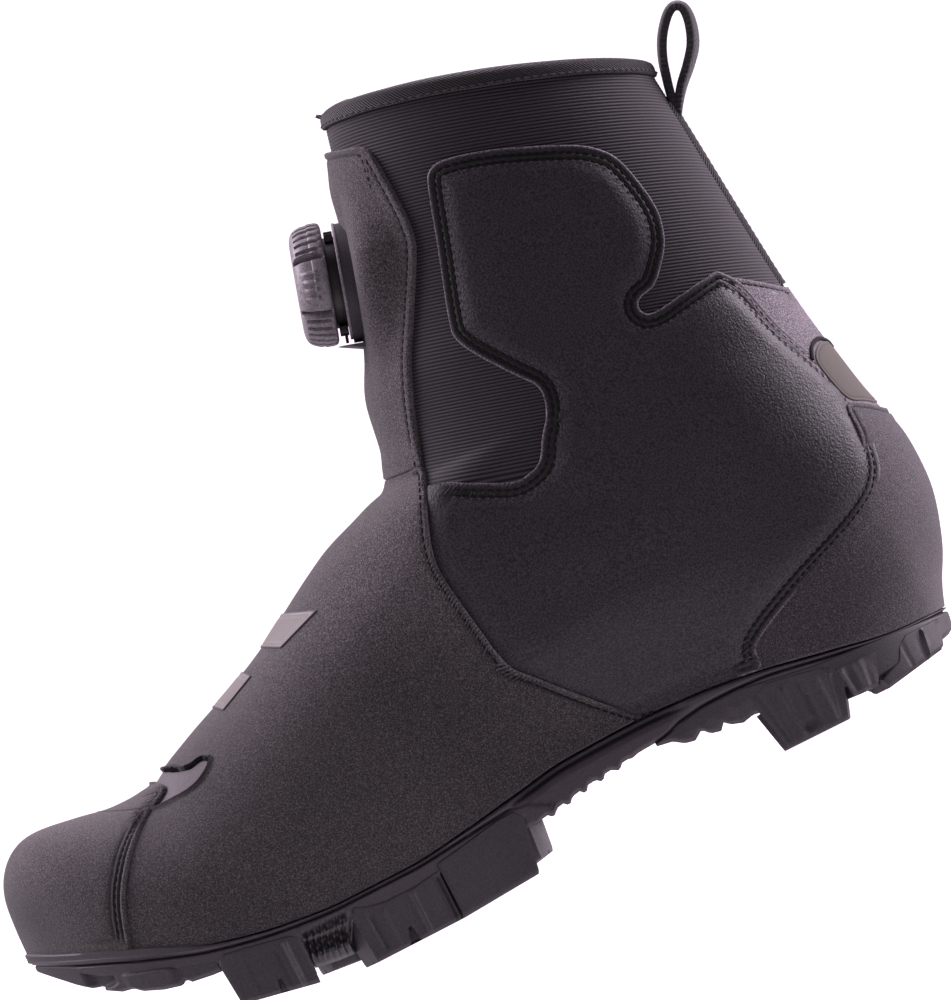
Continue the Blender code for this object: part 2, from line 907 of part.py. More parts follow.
def make_heel_block(row, finish):
    """A heel lug, which stands under the heel tread."""
    name, side, front, back, inner, low_front, low_back = row
    steps = 4
    heel_foot = sorted(HEEL_TREAD)
    rings = []
    for k in range(steps + 1):
        s = k / steps
        x = at(front + (back - front) * s)
        foot = (low_front + (low_back - low_front) * s) * SOLE_HEIGHT
        top = line(heel_foot, along_of(x)) * SOLE_HEIGHT - GAP
        half = half_width(x, feather_z(x), side)
        deep = min(inner * BALL_WIDTH, half - LUG_DRAFT - 2 * GAP)
        section = (
            # inset, height
            (EDGE_ROUND, top),
            (EDGE_ROUND, foot + LUG_DRAFT),
            (LUG_DRAFT, foot),
            (deep - LUG_DRAFT, foot),
            (deep, foot + LUG_DRAFT),
            (deep + LUG_DRAFT, top),
        )
        rings.append([(x, edge_y(x, side, inset), z) for inset, z in section])
    return add(name, loft(rings), finish)


def make_tread(name, table, finish):
    """A rubber moulding that wraps the plate from side to side."""
    rings = []
    for along, foot_share in table:
        x = at(along)
        foot = foot_share * SOLE_HEIGHT
        top = underside_z(x) - 2 * GAP
        wrap = max(top + TREAD_FLARE, wrap_z(x))
        wall = min(TREAD_WALL, 0.4 * half_width(x, feather_z(x), 1))
        half = (
            # inset, height
            (EDGE_ROUND, wrap),
            (-TREAD_FLARE, wrap - 0.4 * (wrap - foot)),
            (TREAD_FLARE, foot + LUG_DRAFT * 0.6),
            (LUG_DRAFT, foot),
        )
        inside = ((wall, top), (wall, wrap))
        ring = [(x, edge_y(x, 1, inset), z) for inset, z in half]
        ring += [(x, edge_y(x, -1, inset), z) for inset, z in reversed(half)]
        ring += [(x, edge_y(x, -1, inset), z) for inset, z in reversed(inside)]
        ring += [(x, edge_y(x, 1, inset), z) for inset, z in inside]
        rings.append(ring)
    return add(name, loft(rings), finish)


def box(name, low, high, finish=None, collection=None):
    bm = bmesh.new()
    bmesh.ops.create_cube(bm, size=1.0)
    for vert in bm.verts:
        vert.co = [low[n] + (high[n] - low[n]) * (vert.co[n] + 0.5) for n in range(3)]
    return add(name, bm, finish, collection)


def make_cleat_pad(finish):
    """A flat pad on the middle of the plate, with two shallow slots in its foot."""
    front = at(0.697)
    back = front - CLEAT_LONG
    middle = (front + back) / 2
    y = centre_y(middle)
    top = min(underside_z(front + (back - front) * k / 8) for k in range(9)) - GAP
    half = CLEAT_WIDE / 2
    pad = box("cleat_pad", (back, y - half, CLEAT_LEVEL), (front, y + half, top), finish)
    for side in (-1, 1):
        centre = y + side * SLOT_SPACING / 2
        cutter = box(
            f"slot_cutter_{side}",
            (middle - SLOT_LONG / 2, centre - SLOT_WIDE / 2, CLEAT_LEVEL - SLOT_DEEP),
            (middle + SLOT_LONG / 2, centre + SLOT_WIDE / 2, CLEAT_LEVEL + SLOT_DEEP),
            collection=CUTTERS,
        )
        cutter.hide_render = True
        cutter.display_type = "WIRE"
        cut = pad.modifiers.new("slot", "BOOLEAN")
        cut.operation = "DIFFERENCE"
        cut.object = cutter
    return pad


# Lace dial


def dial_frame():
    """Middle of the flange, and its axis, sideways and upward directions."""
    middle = Vector((front_x(DIAL_HEIGHT) + DIAL_STAND_OFF, 0.0, DIAL_HEIGHT))
    axis = Vector((math.cos(DIAL_TILT), 0.0, math.sin(DIAL_TILT)))
    across = Vector((0.0, 1.0, 0.0))
    return middle, axis, across, axis.cross(across)


def circle(radius, out, count=24, tail=0.0):
    """Ring about the dial's axis; a tail draws its lowest part down to a point."""
    middle, axis, across, upward = dial_frame()
    ring = []
    for k in range(count):
        a = 2 * math.pi * k / count
        down = max(0.0, -math.cos(a)) ** 4 * tail
        ring.append(
            middle + axis * out + across * math.sin(a) * radius
            + upward * (math.cos(a) * radius - down)
        )
    return ring


def turned(name, profile, finish):
    rings = [circle(radius, out) for radius, out in profile]
    return add(name, loft(rings), finish)


def make_dial(grey, black, flap_tree):
    middle, axis, across, upward = dial_frame()
    front = circle(FLANGE_RADIUS, -GAP, tail=PAD_TAIL)
    back = []
    for point in front:
        hit = flap_tree.ray_cast(point + axis * FLANGE_RADIUS, -axis)[0]
        back.append(hit + axis * 1.6 * GAP)
    middle_back = flap_tree.ray_cast(middle + axis * FLANGE_RADIUS, -axis)[0] + axis * 3 * GAP
    bm = loft([front, back], capped=False)
    bm.verts.ensure_lookup_table()
    count = len(front)
    bm.faces.new(bm.verts[0:count])
    inner = []
    for k in range(count):
        spoke = back[k].lerp(middle_back, 0.5)
        hit = flap_tree.ray_cast(spoke + axis * FLANGE_RADIUS, -axis)[0]
        inner.append(bm.verts.new(hit + axis * 2 * GAP))
    centre = bm.verts.new(middle_back)
    bm.verts.ensure_lookup_table()
    outer = bm.verts[count:2 * count]
    for k in range(count):
        after = (k + 1) % count
        bm.faces.new((outer[k], outer[after], inner[after], inner[k]))
        bm.faces.new((inner[k], inner[after], centre))
    add("dial_pad", bm, grey)

    turned("dial_flange", (
        # radius, out
        (FLANGE_RADIUS, 0.0),
        (FLANGE_RADIUS, FLANGE_THICK - 0.6 * FLANGE_ROUND),
        (FLANGE_RADIUS - FLANGE_ROUND, FLANGE_THICK),
    ), grey)
    foot = FLANGE_THICK + GAP
    turned("dial_neck", ((NECK_RADIUS, foot), (NECK_RADIUS, foot + NECK_TALL - GAP)), black)
    low = foot + NECK_TALL
    high = low + KNOB_THICK
    turned("dial_knob", (
        # radius, out
        (KNOB_RADIUS * 0.90, low),
        (KNOB_RADIUS * 0.98, low + KNOB_THICK * 0.10),
        (KNOB_RADIUS, low + KNOB_THICK * 0.30),
        (KNOB_RADIUS * 0.98, low + KNOB_THICK * 0.62),
        (KNOB_RADIUS * 0.88, low + KNOB_THICK * 0.86),
        (KNOB_RADIUS * 0.74, high),
        (KNOB_RADIUS * 0.55, high - KNOB_THICK * 0.05),
    ), grey)


def make_guide(black, cord, flap_tree):
    """A thin hood under the dial, and the two short laces that run up from it."""
    middle, axis, across, upward = dial_frame()
    foot = middle - upward * GUIDE_DROP
    rings = []
    for k in range(5):
        y = GUIDE_WIDTH * (k / 4 - 0.5)
        root = flap_tree.ray_cast(foot + across * y + axis * FLANGE_RADIUS, -axis)[0]
        tip = GUIDE_REACH * (1.0 - 0.35 * (k / 2 - 1) ** 2)
        base = root + axis * 2 * GAP
        rings.append((
            base - upward * GUIDE_ROOT,
            base + upward * GUIDE_ROOT,
            base + axis * tip + upward * GUIDE_RISE,
            base + axis * tip + upward * (GUIDE_RISE - GUIDE_TIP),
        ))
    add("lace_guide", loft(rings), black)
    start = -(NECK_RADIUS + GAP)
    stop = -(GUIDE_DROP - GUIDE_RISE - 2 * GAP)
    out = FLANGE_THICK + 2 * GAP + LACE_WIDTH / 2
    for name, side in (("lace_medial", 1), ("lace_lateral", -1)):
        rings = []
        for s in (0.0, 0.5, 1.0):
            point = middle + upward * (start + (stop - start) * s) + axis * out
            point += across * side * LACE_SPACING / 2
            ring = []
            for k in range(8):
                a = 2 * math.pi * k / 8
                ring.append(point + (axis * math.cos(a) + across * math.sin(a)) * LACE_WIDTH / 2)
            rings.append(ring)
        add(name, loft(rings), cord)


def tree_of(obj):
    mesh = obj.data
    return BVHTree.FromPolygons([v.co for v in mesh.vertices], [p.vertices for p in mesh.polygons])


def main():
    clear_scene()
    fabric = material("rubberised_fabric", (0.045, 0.042, 0.042), 0.82)
    ribbed = material("ribbed_fabric", (0.020, 0.018, 0.020), 0.85)
    grip = material("heel_fabric", (0.045, 0.042, 0.042), 0.80)
    webbing = material("webbing", (0.030, 0.028, 0.030), 0.88)
    nylon = material("nylon", (0.040, 0.036, 0.040), 0.45)
    rubber = material("rubber", (0.035, 0.032, 0.036), 0.70)
    foam = material("insole_felt", (0.030, 0.030, 0.032), 0.95)
    grey = material("dial_grey", (0.180, 0.175, 0.180), 0.42)
    black = material("dial_black", (0.012, 0.012, 0.013), 0.40)

    make_upper(ribbed)
    make_overlays(fabric, grip)
    make_binding(webbing)
    make_webbing(webbing)
    make_plate(nylon)
    make_insole(foam)
    for row in LUGS:
        if "heel" in row[0]:
            make_heel_block(row, rubber)
        else:
            make_lug(row, rubber)
    make_tread("toe_tread", TOE_TREAD, rubber)
    make_tread("heel_tread", HEEL_TREAD, rubber)
    make_cleat_pad(nylon)
    flap_tree = tree_of(bpy.data.objects["front_flap"])
    make_dial(grey, black, flap_tree)
    make_guide(black, webbing, flap_tree)


main()
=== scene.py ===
"""Looks of the right winter cycling shoe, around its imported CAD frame.

Metres, +Z up, toe towards +X, medial side towards +Y. Pieces sewn to the upper
lie on the same skin as the CAD model: an angle runs around the shoe, from 0 at
the heel over the medial side to pi at the front, and a level runs up it.
"""
import bpy
import math
import numpy as np
from bisect import bisect_right
from mathutils import Matrix, Vector
from mathutils.geometry import delaunay_2d_cdt


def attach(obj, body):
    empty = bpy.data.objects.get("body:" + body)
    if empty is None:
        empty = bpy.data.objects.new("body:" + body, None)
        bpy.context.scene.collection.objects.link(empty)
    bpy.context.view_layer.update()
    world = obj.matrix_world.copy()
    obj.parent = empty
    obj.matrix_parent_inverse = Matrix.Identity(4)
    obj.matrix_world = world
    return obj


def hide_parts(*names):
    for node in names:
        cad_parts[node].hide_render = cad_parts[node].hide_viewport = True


bl_info = {
    "name": "Winter cycling shoe",
    "version": (1, 0, 0),
    "blender": (4, 5, 0),
    "location": "3D View > Sidebar > Shoe",
    "description": "Builds the looks of a right winter cycling shoe around its frame",
    "category": "Add Mesh",
}

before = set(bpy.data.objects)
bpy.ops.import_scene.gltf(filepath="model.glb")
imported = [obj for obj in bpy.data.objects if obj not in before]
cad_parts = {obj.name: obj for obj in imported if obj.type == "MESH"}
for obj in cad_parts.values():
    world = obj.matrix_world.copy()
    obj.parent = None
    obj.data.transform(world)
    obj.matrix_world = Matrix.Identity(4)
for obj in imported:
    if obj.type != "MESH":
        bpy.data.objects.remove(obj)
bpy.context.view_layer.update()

MM = 0.001

# Driving sizes of the CAD model

LENGTH = 0.3010
BALL_WIDTH = 0.1060
HEEL_WIDTH = 0.0750
SHAFT_WIDTH = 0.0740
TOE_HEIGHT = 0.0780
INSTEP_HEIGHT = 0.1222
COLLAR_HEIGHT = 0.2285
BACK_HEIGHT = 0.1985
SOLE_HEIGHT = 0.0290
WALL = 0.0030
GAP = 0.0003
TOE_ROUND = 0.200
HEEL_ROUND = 0.140
FRONT_ROUND = 0.165
ARCH_POWER = 2.6
OVAL_POWER = 2.1
WALL_BULGE = 0.035

DIAL_HEIGHT = 0.1830
DIAL_TILT = math.radians(17.2)
DIAL_STAND_OFF = 0.0054
FLANGE_RADIUS = 0.0174
FLANGE_THICK = 0.0009
NECK_RADIUS = 0.0135
NECK_TALL = 0.0030
KNOB_RADIUS = 0.0184
KNOB_THICK = 0.0100

# Tables of the CAD model. Along is a share of LENGTH from the heel's back.

TOE_RIDGE = (
    # along, share of TOE_HEIGHT
    (0.9935, 0.622), (0.9922, 0.731), (0.9880, 0.853), (0.9765, 0.936), (0.9580, 0.988),
    (0.9350, 1.000), (0.8970, 0.979), (0.8600, 0.954), (0.8200, 0.961),
)
FOOT_RIDGE = (
    # along, share of INSTEP_HEIGHT
    (0.7900, 0.649), (0.7500, 0.691), (0.7000, 0.741), (0.6600, 0.787), (0.6280, 0.832),
    (0.5640, 0.922), (0.5050, 0.975), (0.4780, 1.000),
)
SHAFT_FRONT = (
    # along, share of the rise from the instep to the collar
    (0.4604, 0.100), (0.4504, 0.240), (0.4334, 0.340), (0.4204, 0.430), (0.4037, 0.580),
    (0.3934, 0.720), (0.3869, 0.810), (0.3765, 0.895), (0.3700, 0.965), (0.3640, 1.000),
)
BACK = (
    # along, share of BACK_HEIGHT
    (0.0480, 0.086), (0.0390, 0.116), (0.0185, 0.176), (0.0080, 0.247), (0.0066, 0.327),
    (0.0118, 0.378), (0.0205, 0.428), (0.0275, 0.484), (0.0365, 0.564), (0.0430, 0.645),
    (0.0495, 0.766), (0.0555, 0.887), (0.0620, 1.000),
)
FEATHER = (
    # along, share of SOLE_HEIGHT
    (0.0450, 0.586), (0.0990, 0.607), (0.1650, 0.724), (0.2320, 0.860), (0.2980, 0.948),
    (0.3650, 0.985), (0.4450, 0.965), (0.4980, 0.890), (0.5640, 0.790), (0.6300, 0.724),
    (0.6970, 0.724), (0.7635, 0.790), (0.8300, 0.940), (0.8960, 1.180), (0.9300, 1.330),
    (0.9650, 1.490), (1.0000, 1.672),
)
UNDERSIDE = (
    # along, share of SOLE_HEIGHT
    (0.0450, 0.380), (0.0990, 0.385), (0.1650, 0.460), (0.2650, 0.640), (0.3480, 0.690),
    (0.4200, 0.640), (0.4980, 0.520), (0.6000, 0.440), (0.7000, 0.450), (0.8000, 0.600),
    (0.8640, 0.800), (0.9300, 1.080), (0.9700, 1.330), (1.0000, 1.520),
)
OUTLINE = (
    # along, medial and lateral half width as shares of BALL_WIDTH
    (0.0000, 0.318, 0.318), (0.1650, 0.320, 0.326), (0.2650, 0.294, 0.340),
    (0.3400, 0.270, 0.352), (0.4650, 0.285, 0.395), (0.5300, 0.325, 0.430),
    (0.6300, 0.410, 0.480), (0.7000, 0.452, 0.492), (0.7500, 0.466, 0.478),
    (0.8200, 0.469, 0.450), (0.9000, 0.468, 0.432), (1.0000, 0.468, 0.425),
)
SHAFT = (
    # share of COLLAR_HEIGHT, half width
    (0.10, 0.490), (0.22, 0.515), (0.38, 0.520), (0.52, 0.500), (0.65, 0.492),
    (0.80, 0.500), (1.00, 0.520),
)
CENTRE = (
    # along, lean of the centre line as a share of BALL_WIDTH
    (0.00, 0.000), (0.60, 0.000), (0.80, 0.020), (1.00, 0.042),
)
LOOPS = (
    # back share, front share
    (0.000, 0.000), (0.330, 0.255), (0.580, 0.612), (0.930, 0.955), (1.000, 1.000),
)

# Seams in the side view, in millimetres: x ahead of the shoe's middle, z over the floor.

VAMP_SEAM = (
    # x, z, from the feather line up to the flap
    (-46.7, 28.0), (-40.7, 31.0), (-20.7, 53.0), (-14.7, 61.0), (-11.7, 77.0), (-9.7, 93.0),
    (-10.7, 101.0), (-13.7, 109.0), (-18.7, 120.0), (-19.6, 123.4),
)
FLAP_SEAM = (
    # x, z, from the vamp up to the flap's top corner
    (-19.6, 123.4), (-24.7, 139.0), (-30.7, 153.0), (-37.7, 165.0), (-46.7, 181.0),
    (-48.7, 189.0), (-48.9, 200.0), (-48.3, 212.0), (-45.7, 216.0),
)
TOE_SEAM = (
    # x, z, from the feather line up to the slot behind the toe cap
    (122.0, 33.0), (120.3, 39.0), (117.3, 48.0), (113.3, 55.0), (107.3, 62.0),
    (99.3, 68.0), (92.3, 71.6), (90.8, 73.6), (92.8, 75.6),
)
SIDE_PANEL = (
    # x, z, around the smooth panel; its front runs under the vamp
    (-44.0, 26.5), (-36.0, 30.5), (-18.0, 53.0), (-12.0, 62.0), (-9.0, 77.0), (-7.2, 93.0),
    (-8.2, 103.0), (-12.0, 111.5), (-16.0, 116.5), (-21.0, 117.0), (-32.7, 111.2),
    (-40.7, 107.4), (-45.6, 107.4), (-50.2, 109.2), (-54.0, 114.9), (-58.2, 120.5), (-60.0, 125.5),
    (-59.7, 129.5), (-55.7, 135.0), (-48.7, 145.0), (-45.2, 152.0), (-45.7, 158.0),
    (-52.7, 179.0), (-58.4, 196.4), (-61.2, 200.4), (-66.4, 201.0), (-79.8, 197.3),
    (-99.8, 188.5), (-107.7, 182.9), (-112.0, 176.0), (-114.7, 161.0), (-112.9, 151.0),
    (-108.1, 144.0), (-103.5, 139.7), (-98.8, 138.6), (-96.9, 136.4), (-98.1, 133.5),
    (-102.0, 132.9), (-106.0, 133.4), (-120.3, 135.2), (-122.6, 134.6), (-126.9, 128.0), (-130.7, 113.0),
    (-136.7, 97.0), (-140.2, 86.0), (-140.0, 71.0), (-136.7, 59.0), (-126.7, 51.0),
    (-100.7, 41.0), (-83.0, 32.4), (-79.7, 24.5), (-62.0, 26.0),
)
COUNTER_FRONT = (
    # x, z, under the smooth panel's rear edge
    (-77.0, 24.0), (-80.0, 33.0), (-99.0, 43.5), (-124.0, 53.5), (-133.5, 61.0),
    (-136.6, 72.0), (-137.0, 82.0), (-141.0, 81.0), (-149.0, 74.0),
)
BACK_PANEL_EDGE = (
    # x, z, from the counter's top up to the ribbed shaft, then to the back
    (-135.0, 74.0), (-136.0, 86.0), (-132.5, 98.0), (-127.5, 113.0), (-123.5, 126.0),
    (-122.0, 133.0), (-130.0, 128.0), (-139.6, 120.2),
)
COLLAR_BULGE = 0.0056
RIB_FOOT_BACK = 0.0700
RIB_FOOT_FRONT = 0.1120


# Curves and the skin, worked out for whole arrays of points


def smooth(pairs, key):
    """Monotone cubic through pairs that rise in their first value."""
    keys = [pair[0] for pair in pairs]
    values = [pair[1] for pair in pairs]
    if key <= keys[0]:
        return values[0]
    if key >= keys[-1]:
        return values[-1]
    i = bisect_right(keys, key) - 1
    slopes = [(values[k + 1] - values[k]) / (keys[k + 1] - keys[k]) for k in range(len(keys) - 1)]

    def tangent(k):
        if k == 0:
            return slopes[0]
        if k == len(keys) - 1:
            return slopes[-1]
        before, after = slopes[k - 1], slopes[k]
        if before * after <= 0.0:
            return 0.0
        return 2.0 * before * after / (before + after)

    span = keys[i + 1] - keys[i]
    s = (key - keys[i]) / span
    return (
        values[i] * (1 + 2 * s) * (1 - s) ** 2
        + tangent(i) * span * s * (1 - s) ** 2
        + values[i + 1] * s * s * (3 - 2 * s)
        + tangent(i + 1) * span * s * s * (s - 1)
    )


def curve_of(table, index=1, samples=600):
    """A table's column as a function of arrays."""
    pairs = [(row[0], row[index]) for row in table]
    keys = np.linspace(pairs[0][0], pairs[-1][0], samples)
    values = np.array([smooth(pairs, key) for key in keys])
    return lambda x: np.interp(x, keys, values)


def step(low, high, value):
    """Smooth step from 0 at low to 1 at high."""
    s = np.clip((value - low) / (high - low), 0.0, 1.0)
    return s * s * (3 - 2 * s)


def rounded(share, power):
    """Half width of a rounded end: 0 at its tip, 1 from its full depth on."""
    left = 1.0 - np.clip(share, 0.0, 1.0)
    return np.sqrt(np.maximum(0.0, 1.0 - left ** power))


def spline(points, per_span=10, closed=False):
    """Dense Catmull-Rom curve through points."""
    points = [tuple(point) for point in points]
    count = len(points)
    spans = count if closed else count - 1
    dense = []
    for i in range(spans):
        if closed:
            a, b, c, d = (points[(i + k) % count] for k in (-1, 0, 1, 2))
        else:
            a, b = points[max(0, i - 1)], points[i]
            c, d = points[i + 1], points[min(count - 1, i + 2)]
        for k in range(per_span):
            t = k / per_span
            dense.append(tuple(
                0.5 * (2 * b[n] + (c[n] - a[n]) * t
                       + (2 * a[n] - 5 * b[n] + 4 * c[n] - d[n]) * t ** 2
                       + (3 * b[n] - a[n] - 3 * c[n] + d[n]) * t ** 3)
                for n in range(len(b))
            ))
    if not closed:
        dense.append(points[-1])
    return dense


def at(along):
    return (along - 0.5) * LENGTH


def along_of(x):
    return x / LENGTH + 0.5


feather_share = curve_of(FEATHER)


def feather_z(x):
    return feather_share(along_of(x)) * SOLE_HEIGHT


def footed(table, height):
    """A table's side view points, with its first one on the feather line and its last at its height."""
    foot_x, foot = at(table[0][0]), table[0][1]
    moved = float(feather_z(foot_x)) - foot * height
    return [(at(a), h * height + moved * (1 - h) / (1 - foot)) for a, h in table]


RIDGE = np.array(spline(
    footed(TOE_RIDGE, TOE_HEIGHT)
    + [(at(a), h * INSTEP_HEIGHT) for a, h in FOOT_RIDGE]
    + [(at(a), INSTEP_HEIGHT + h * (COLLAR_HEIGHT - INSTEP_HEIGHT)) for a, h in SHAFT_FRONT]
))
HEEL_BACK = np.array(spline(footed(BACK, BACK_HEIGHT)))
TOE_TIP = RIDGE[0, 0]


def run_of(points):
    return np.concatenate(([0.0], np.cumsum(np.linalg.norm(np.diff(points, axis=0), axis=1))))


RIDGE_RUN = run_of(RIDGE)
BACK_RUN = run_of(HEEL_BACK)
LOOP_BACKS = np.array([loop[0] for loop in LOOPS])
LOOP_FRONTS = np.array([loop[1] for loop in LOOPS])


def rising(keys, values):
    """Keys and values with only the rows whose key rises."""
    kept_keys, kept_values = [], []
    for key, value in zip(keys, values):
        if not kept_keys or key > kept_keys[-1] + 1e-6:
            kept_keys.append(key)
            kept_values.append(value)
    return np.array(kept_keys), np.array(kept_values)


BY_X = rising(*RIDGE[np.argsort(RIDGE[:, 0])].T)
FRONT_PART = RIDGE[RIDGE[:, 0] < at(FOOT_RIDGE[0][0])]
BY_HEIGHT = rising(FRONT_PART[:, 1], FRONT_PART[:, 0])
BACK_BY_HEIGHT = rising(HEEL_BACK[:, 1], HEEL_BACK[:, 0])

underside_share = curve_of(UNDERSIDE)
medial_share = curve_of(OUTLINE, 1)
lateral_share = curve_of(OUTLINE, 2)
shaft_share = curve_of(SHAFT)
centre_share = curve_of(CENTRE)


def ridge_z(x):
    return np.interp(x, *BY_X)


def front_x(z):
    return np.interp(z, *BY_HEIGHT)


def back_x(z):
    return np.interp(z, *BACK_BY_HEIGHT)


def underside_z(x):
    return underside_share(along_of(x)) * SOLE_HEIGHT


def centre_y(x):
    return centre_share(along_of(x)) * BALL_WIDTH


def half_width(x, z, side):
    """Distance of the upper's outside from its centre line, at side view points."""
    along = along_of(x)
    plan = np.where(side > 0, medial_share(along), lateral_share(along)) * BALL_WIDTH
    plan = plan * rounded((TOE_TIP - x) / (TOE_ROUND * LENGTH), 2.0)
    low = feather_z(x)
    width = HEEL_WIDTH + (SHAFT_WIDTH - HEEL_WIDTH) * step(0.0, 1.0, z / COLLAR_HEIGHT)
    shaft = shaft_share(z / COLLAR_HEIGHT) * width
    raised = step(0.0, 0.16 * COLLAR_HEIGHT, z - low) * step(0.62, 0.40, along)
    wall = plan + (shaft - plan) * raised
    rise = np.clip((z - low) / np.maximum(1e-6, ridge_z(x) - low), 0.0, 1.0)
    arch = np.sqrt(np.maximum(0.0, 1.0 - rise ** ARCH_POWER))
    arch = arch * (1.0 + WALL_BULGE * np.sin(math.pi * rise))
    oval = rounded((front_x(z) - x) / (FRONT_ROUND * LENGTH), OVAL_POWER)
    upright = step(0.62, 0.46, along)
    heel = rounded((x - back_x(z)) / (HEEL_ROUND * LENGTH), OVAL_POWER)
    return wall * heel * (arch + (oval - arch) * upright)


def loop_path(level, t):
    """Side view points of loops: t runs from the back to the front."""
    shares = np.arange(len(LOOPS))
    back_run = np.interp(level, shares, LOOP_BACKS)
    front_share = np.interp(level, shares, LOOP_FRONTS)
    back = [np.interp(back_run * BACK_RUN[-1], BACK_RUN, HEEL_BACK[:, n]) for n in range(2)]
    front = [np.interp(front_share * RIDGE_RUN[-1], RIDGE_RUN, RIDGE[:, n]) for n in range(2)]
    x = back[0] + (front[0] - back[0]) * t
    z = back[1] + (front[1] - back[1]) * t
    foot_back, foot_front = HEEL_BACK[0], RIDGE[0]
    foot_x = foot_back[0] + (foot_front[0] - foot_back[0]) * t
    chord = foot_back[1] + (foot_front[1] - foot_back[1]) * t
    start = feather_z(foot_back[0]) - foot_back[1]
    end = feather_z(foot_front[0]) - foot_front[1]
    wave = feather_z(foot_x) - chord - start * (1 - t) - end * t
    return x, z + wave * np.maximum(0.0, 1.0 - front_share / 0.75)


def place(angle, level):
    x, z = loop_path(level, (1 - np.cos(angle)) / 2)
    side = np.where(np.sin(angle) >= 0, 1, -1)
    return np.stack((x, centre_y(x) + side * half_width(x, z, side), z), axis=-1)


def tangents(angle, level, small=0.004):
    """Change of the skin's place along the angle and along the level, each per unit."""
    low = np.maximum(0.0, level - small)
    high = np.minimum(len(LOOPS) - 1.0, level + small)
    around = (place(angle + small, level) - place(angle - small, level)) / (2 * small)
    upward = (place(angle, high) - place(angle, low)) / np.maximum(1e-9, high - low)[..., None]
    return around, upward


def unit(vectors):
    return vectors / np.maximum(1e-12, np.linalg.norm(vectors, axis=-1, keepdims=True))


def skin(angle, level, out=0.0):
    """Places on the upper's outside, moved out along the normal."""
    angle, level = np.broadcast_arrays(np.asarray(angle, float), np.asarray(level, float))
    around, upward = tangents(angle, level)
    normal = unit(np.cross(upward, around))
    return place(angle, level) + normal * np.broadcast_to(np.asarray(out, float), angle.shape)[..., None]


def chart(points):
    """Angle and level, on the medial side, of side view points in millimetres."""
    points = np.asarray(points, float) * MM
    low = np.zeros(len(points))
    high = np.full(len(points), len(LOOPS) - 1.0)
    for _ in range(40):
        level = (low + high) / 2
        start, _ = loop_path(level, 0.0)
        stop, _ = loop_path(level, 1.0)
        t = np.clip((points[:, 0] - start) / (stop - start), 0.0, 1.0)
        under = loop_path(level, t)[1] < points[:, 1]
        low = np.where(under, level, low)
        high = np.where(under, high, level)
    return np.stack((np.arccos(1 - 2 * t), level), axis=-1)


# Mesh helpers


def deselect():
    if bpy.context.object and bpy.context.object.mode != "OBJECT":
        bpy.ops.object.mode_set(mode="OBJECT")
    bpy.ops.object.select_all(action="DESELECT")


def only(obj):
    deselect()
    obj.select_set(True)
    bpy.context.view_layer.objects.active = obj


def apply_modifiers(obj):
    only(obj)
    for modifier in list(obj.modifiers):
        bpy.ops.object.modifier_apply(modifier=modifier.name)


def settle(obj, slot, finish, *nodes, angle=40):
    """Places the object's mesh at the origin, shades it and ties it to the frame."""
    only(obj)
    bpy.ops.object.transform_apply(location=True, rotation=True, scale=True)
    bpy.ops.object.shade_smooth_by_angle(angle=math.radians(angle))
    obj.data.materials.clear()
    obj.data.materials.append(finish)
    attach(obj, "root")
    if nodes:
        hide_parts(*nodes)
    return obj


def outward(obj):
    """Recalculates the normals of a closed mesh, so that its faces look outwards."""
    only(obj)
    bpy.ops.object.mode_set(mode="EDIT")
    bpy.ops.mesh.select_all(action="SELECT")
    bpy.ops.mesh.remove_doubles(threshold=1e-6)
    bpy.ops.mesh.normals_make_consistent(inside=False)
    bpy.ops.object.mode_set(mode="OBJECT")


def mesh_object(name, points, faces):
    mesh = bpy.data.meshes.new(name)
    mesh.from_pydata([tuple(point) for point in points], [], faces)
    mesh.update()
    obj = bpy.data.objects.new(name, mesh)
    bpy.context.scene.collection.objects.link(obj)
    return obj


def laid_grid(name, columns, rows, shape, ring=False):
    """Adds a grid and lays its points by shape(u, v), with u and v from 0 to 1."""
    deselect()
    bpy.ops.mesh.primitive_grid_add(x_subdivisions=columns, y_subdivisions=rows, size=1)
    obj = bpy.context.object
    obj.name = obj.data.name = name
    flat = np.empty(len(obj.data.vertices) * 3)
    obj.data.vertices.foreach_get("co", flat)
    flat = flat.reshape(-1, 3)
    points = shape(flat[:, 0] + 0.5, flat[:, 1] + 0.5)
    obj.data.vertices.foreach_set("co", np.asarray(points, float).ravel())
    obj.data.update()
    if ring:
        bpy.ops.object.mode_set(mode="EDIT")
        bpy.ops.mesh.select_all(action="SELECT")
        bpy.ops.mesh.remove_doubles(threshold=1e-6)
        bpy.ops.object.mode_set(mode="OBJECT")
    return obj


def thicken(obj, depth):
    """Gives an open sheet its thickness, inwards from its outer face."""
    solid = obj.modifiers.new("thickness", "SOLIDIFY")
    solid.thickness = depth
    solid.offset = -1.0
    apply_modifiers(obj)


def lofted(name, rings, closed=False, capped=True):
    """A closed form through rings of as many points each."""
    count = len(rings[0])
    points = [point for ring in rings for point in ring]
    faces = []
    last = len(rings) if closed else len(rings) - 1
    for r in range(last):
        low, high = r * count, ((r + 1) % len(rings)) * count
        for k in range(count):
            after = (k + 1) % count
            faces.append((low + k, low + after, high + after, high + k))
    if capped and not closed:
        faces.append(tuple(range(count)))
        faces.append(tuple(range((len(rings) - 1) * count, len(rings) * count)))
    obj = mesh_object(name, points, faces)
    outward(obj)
    return obj


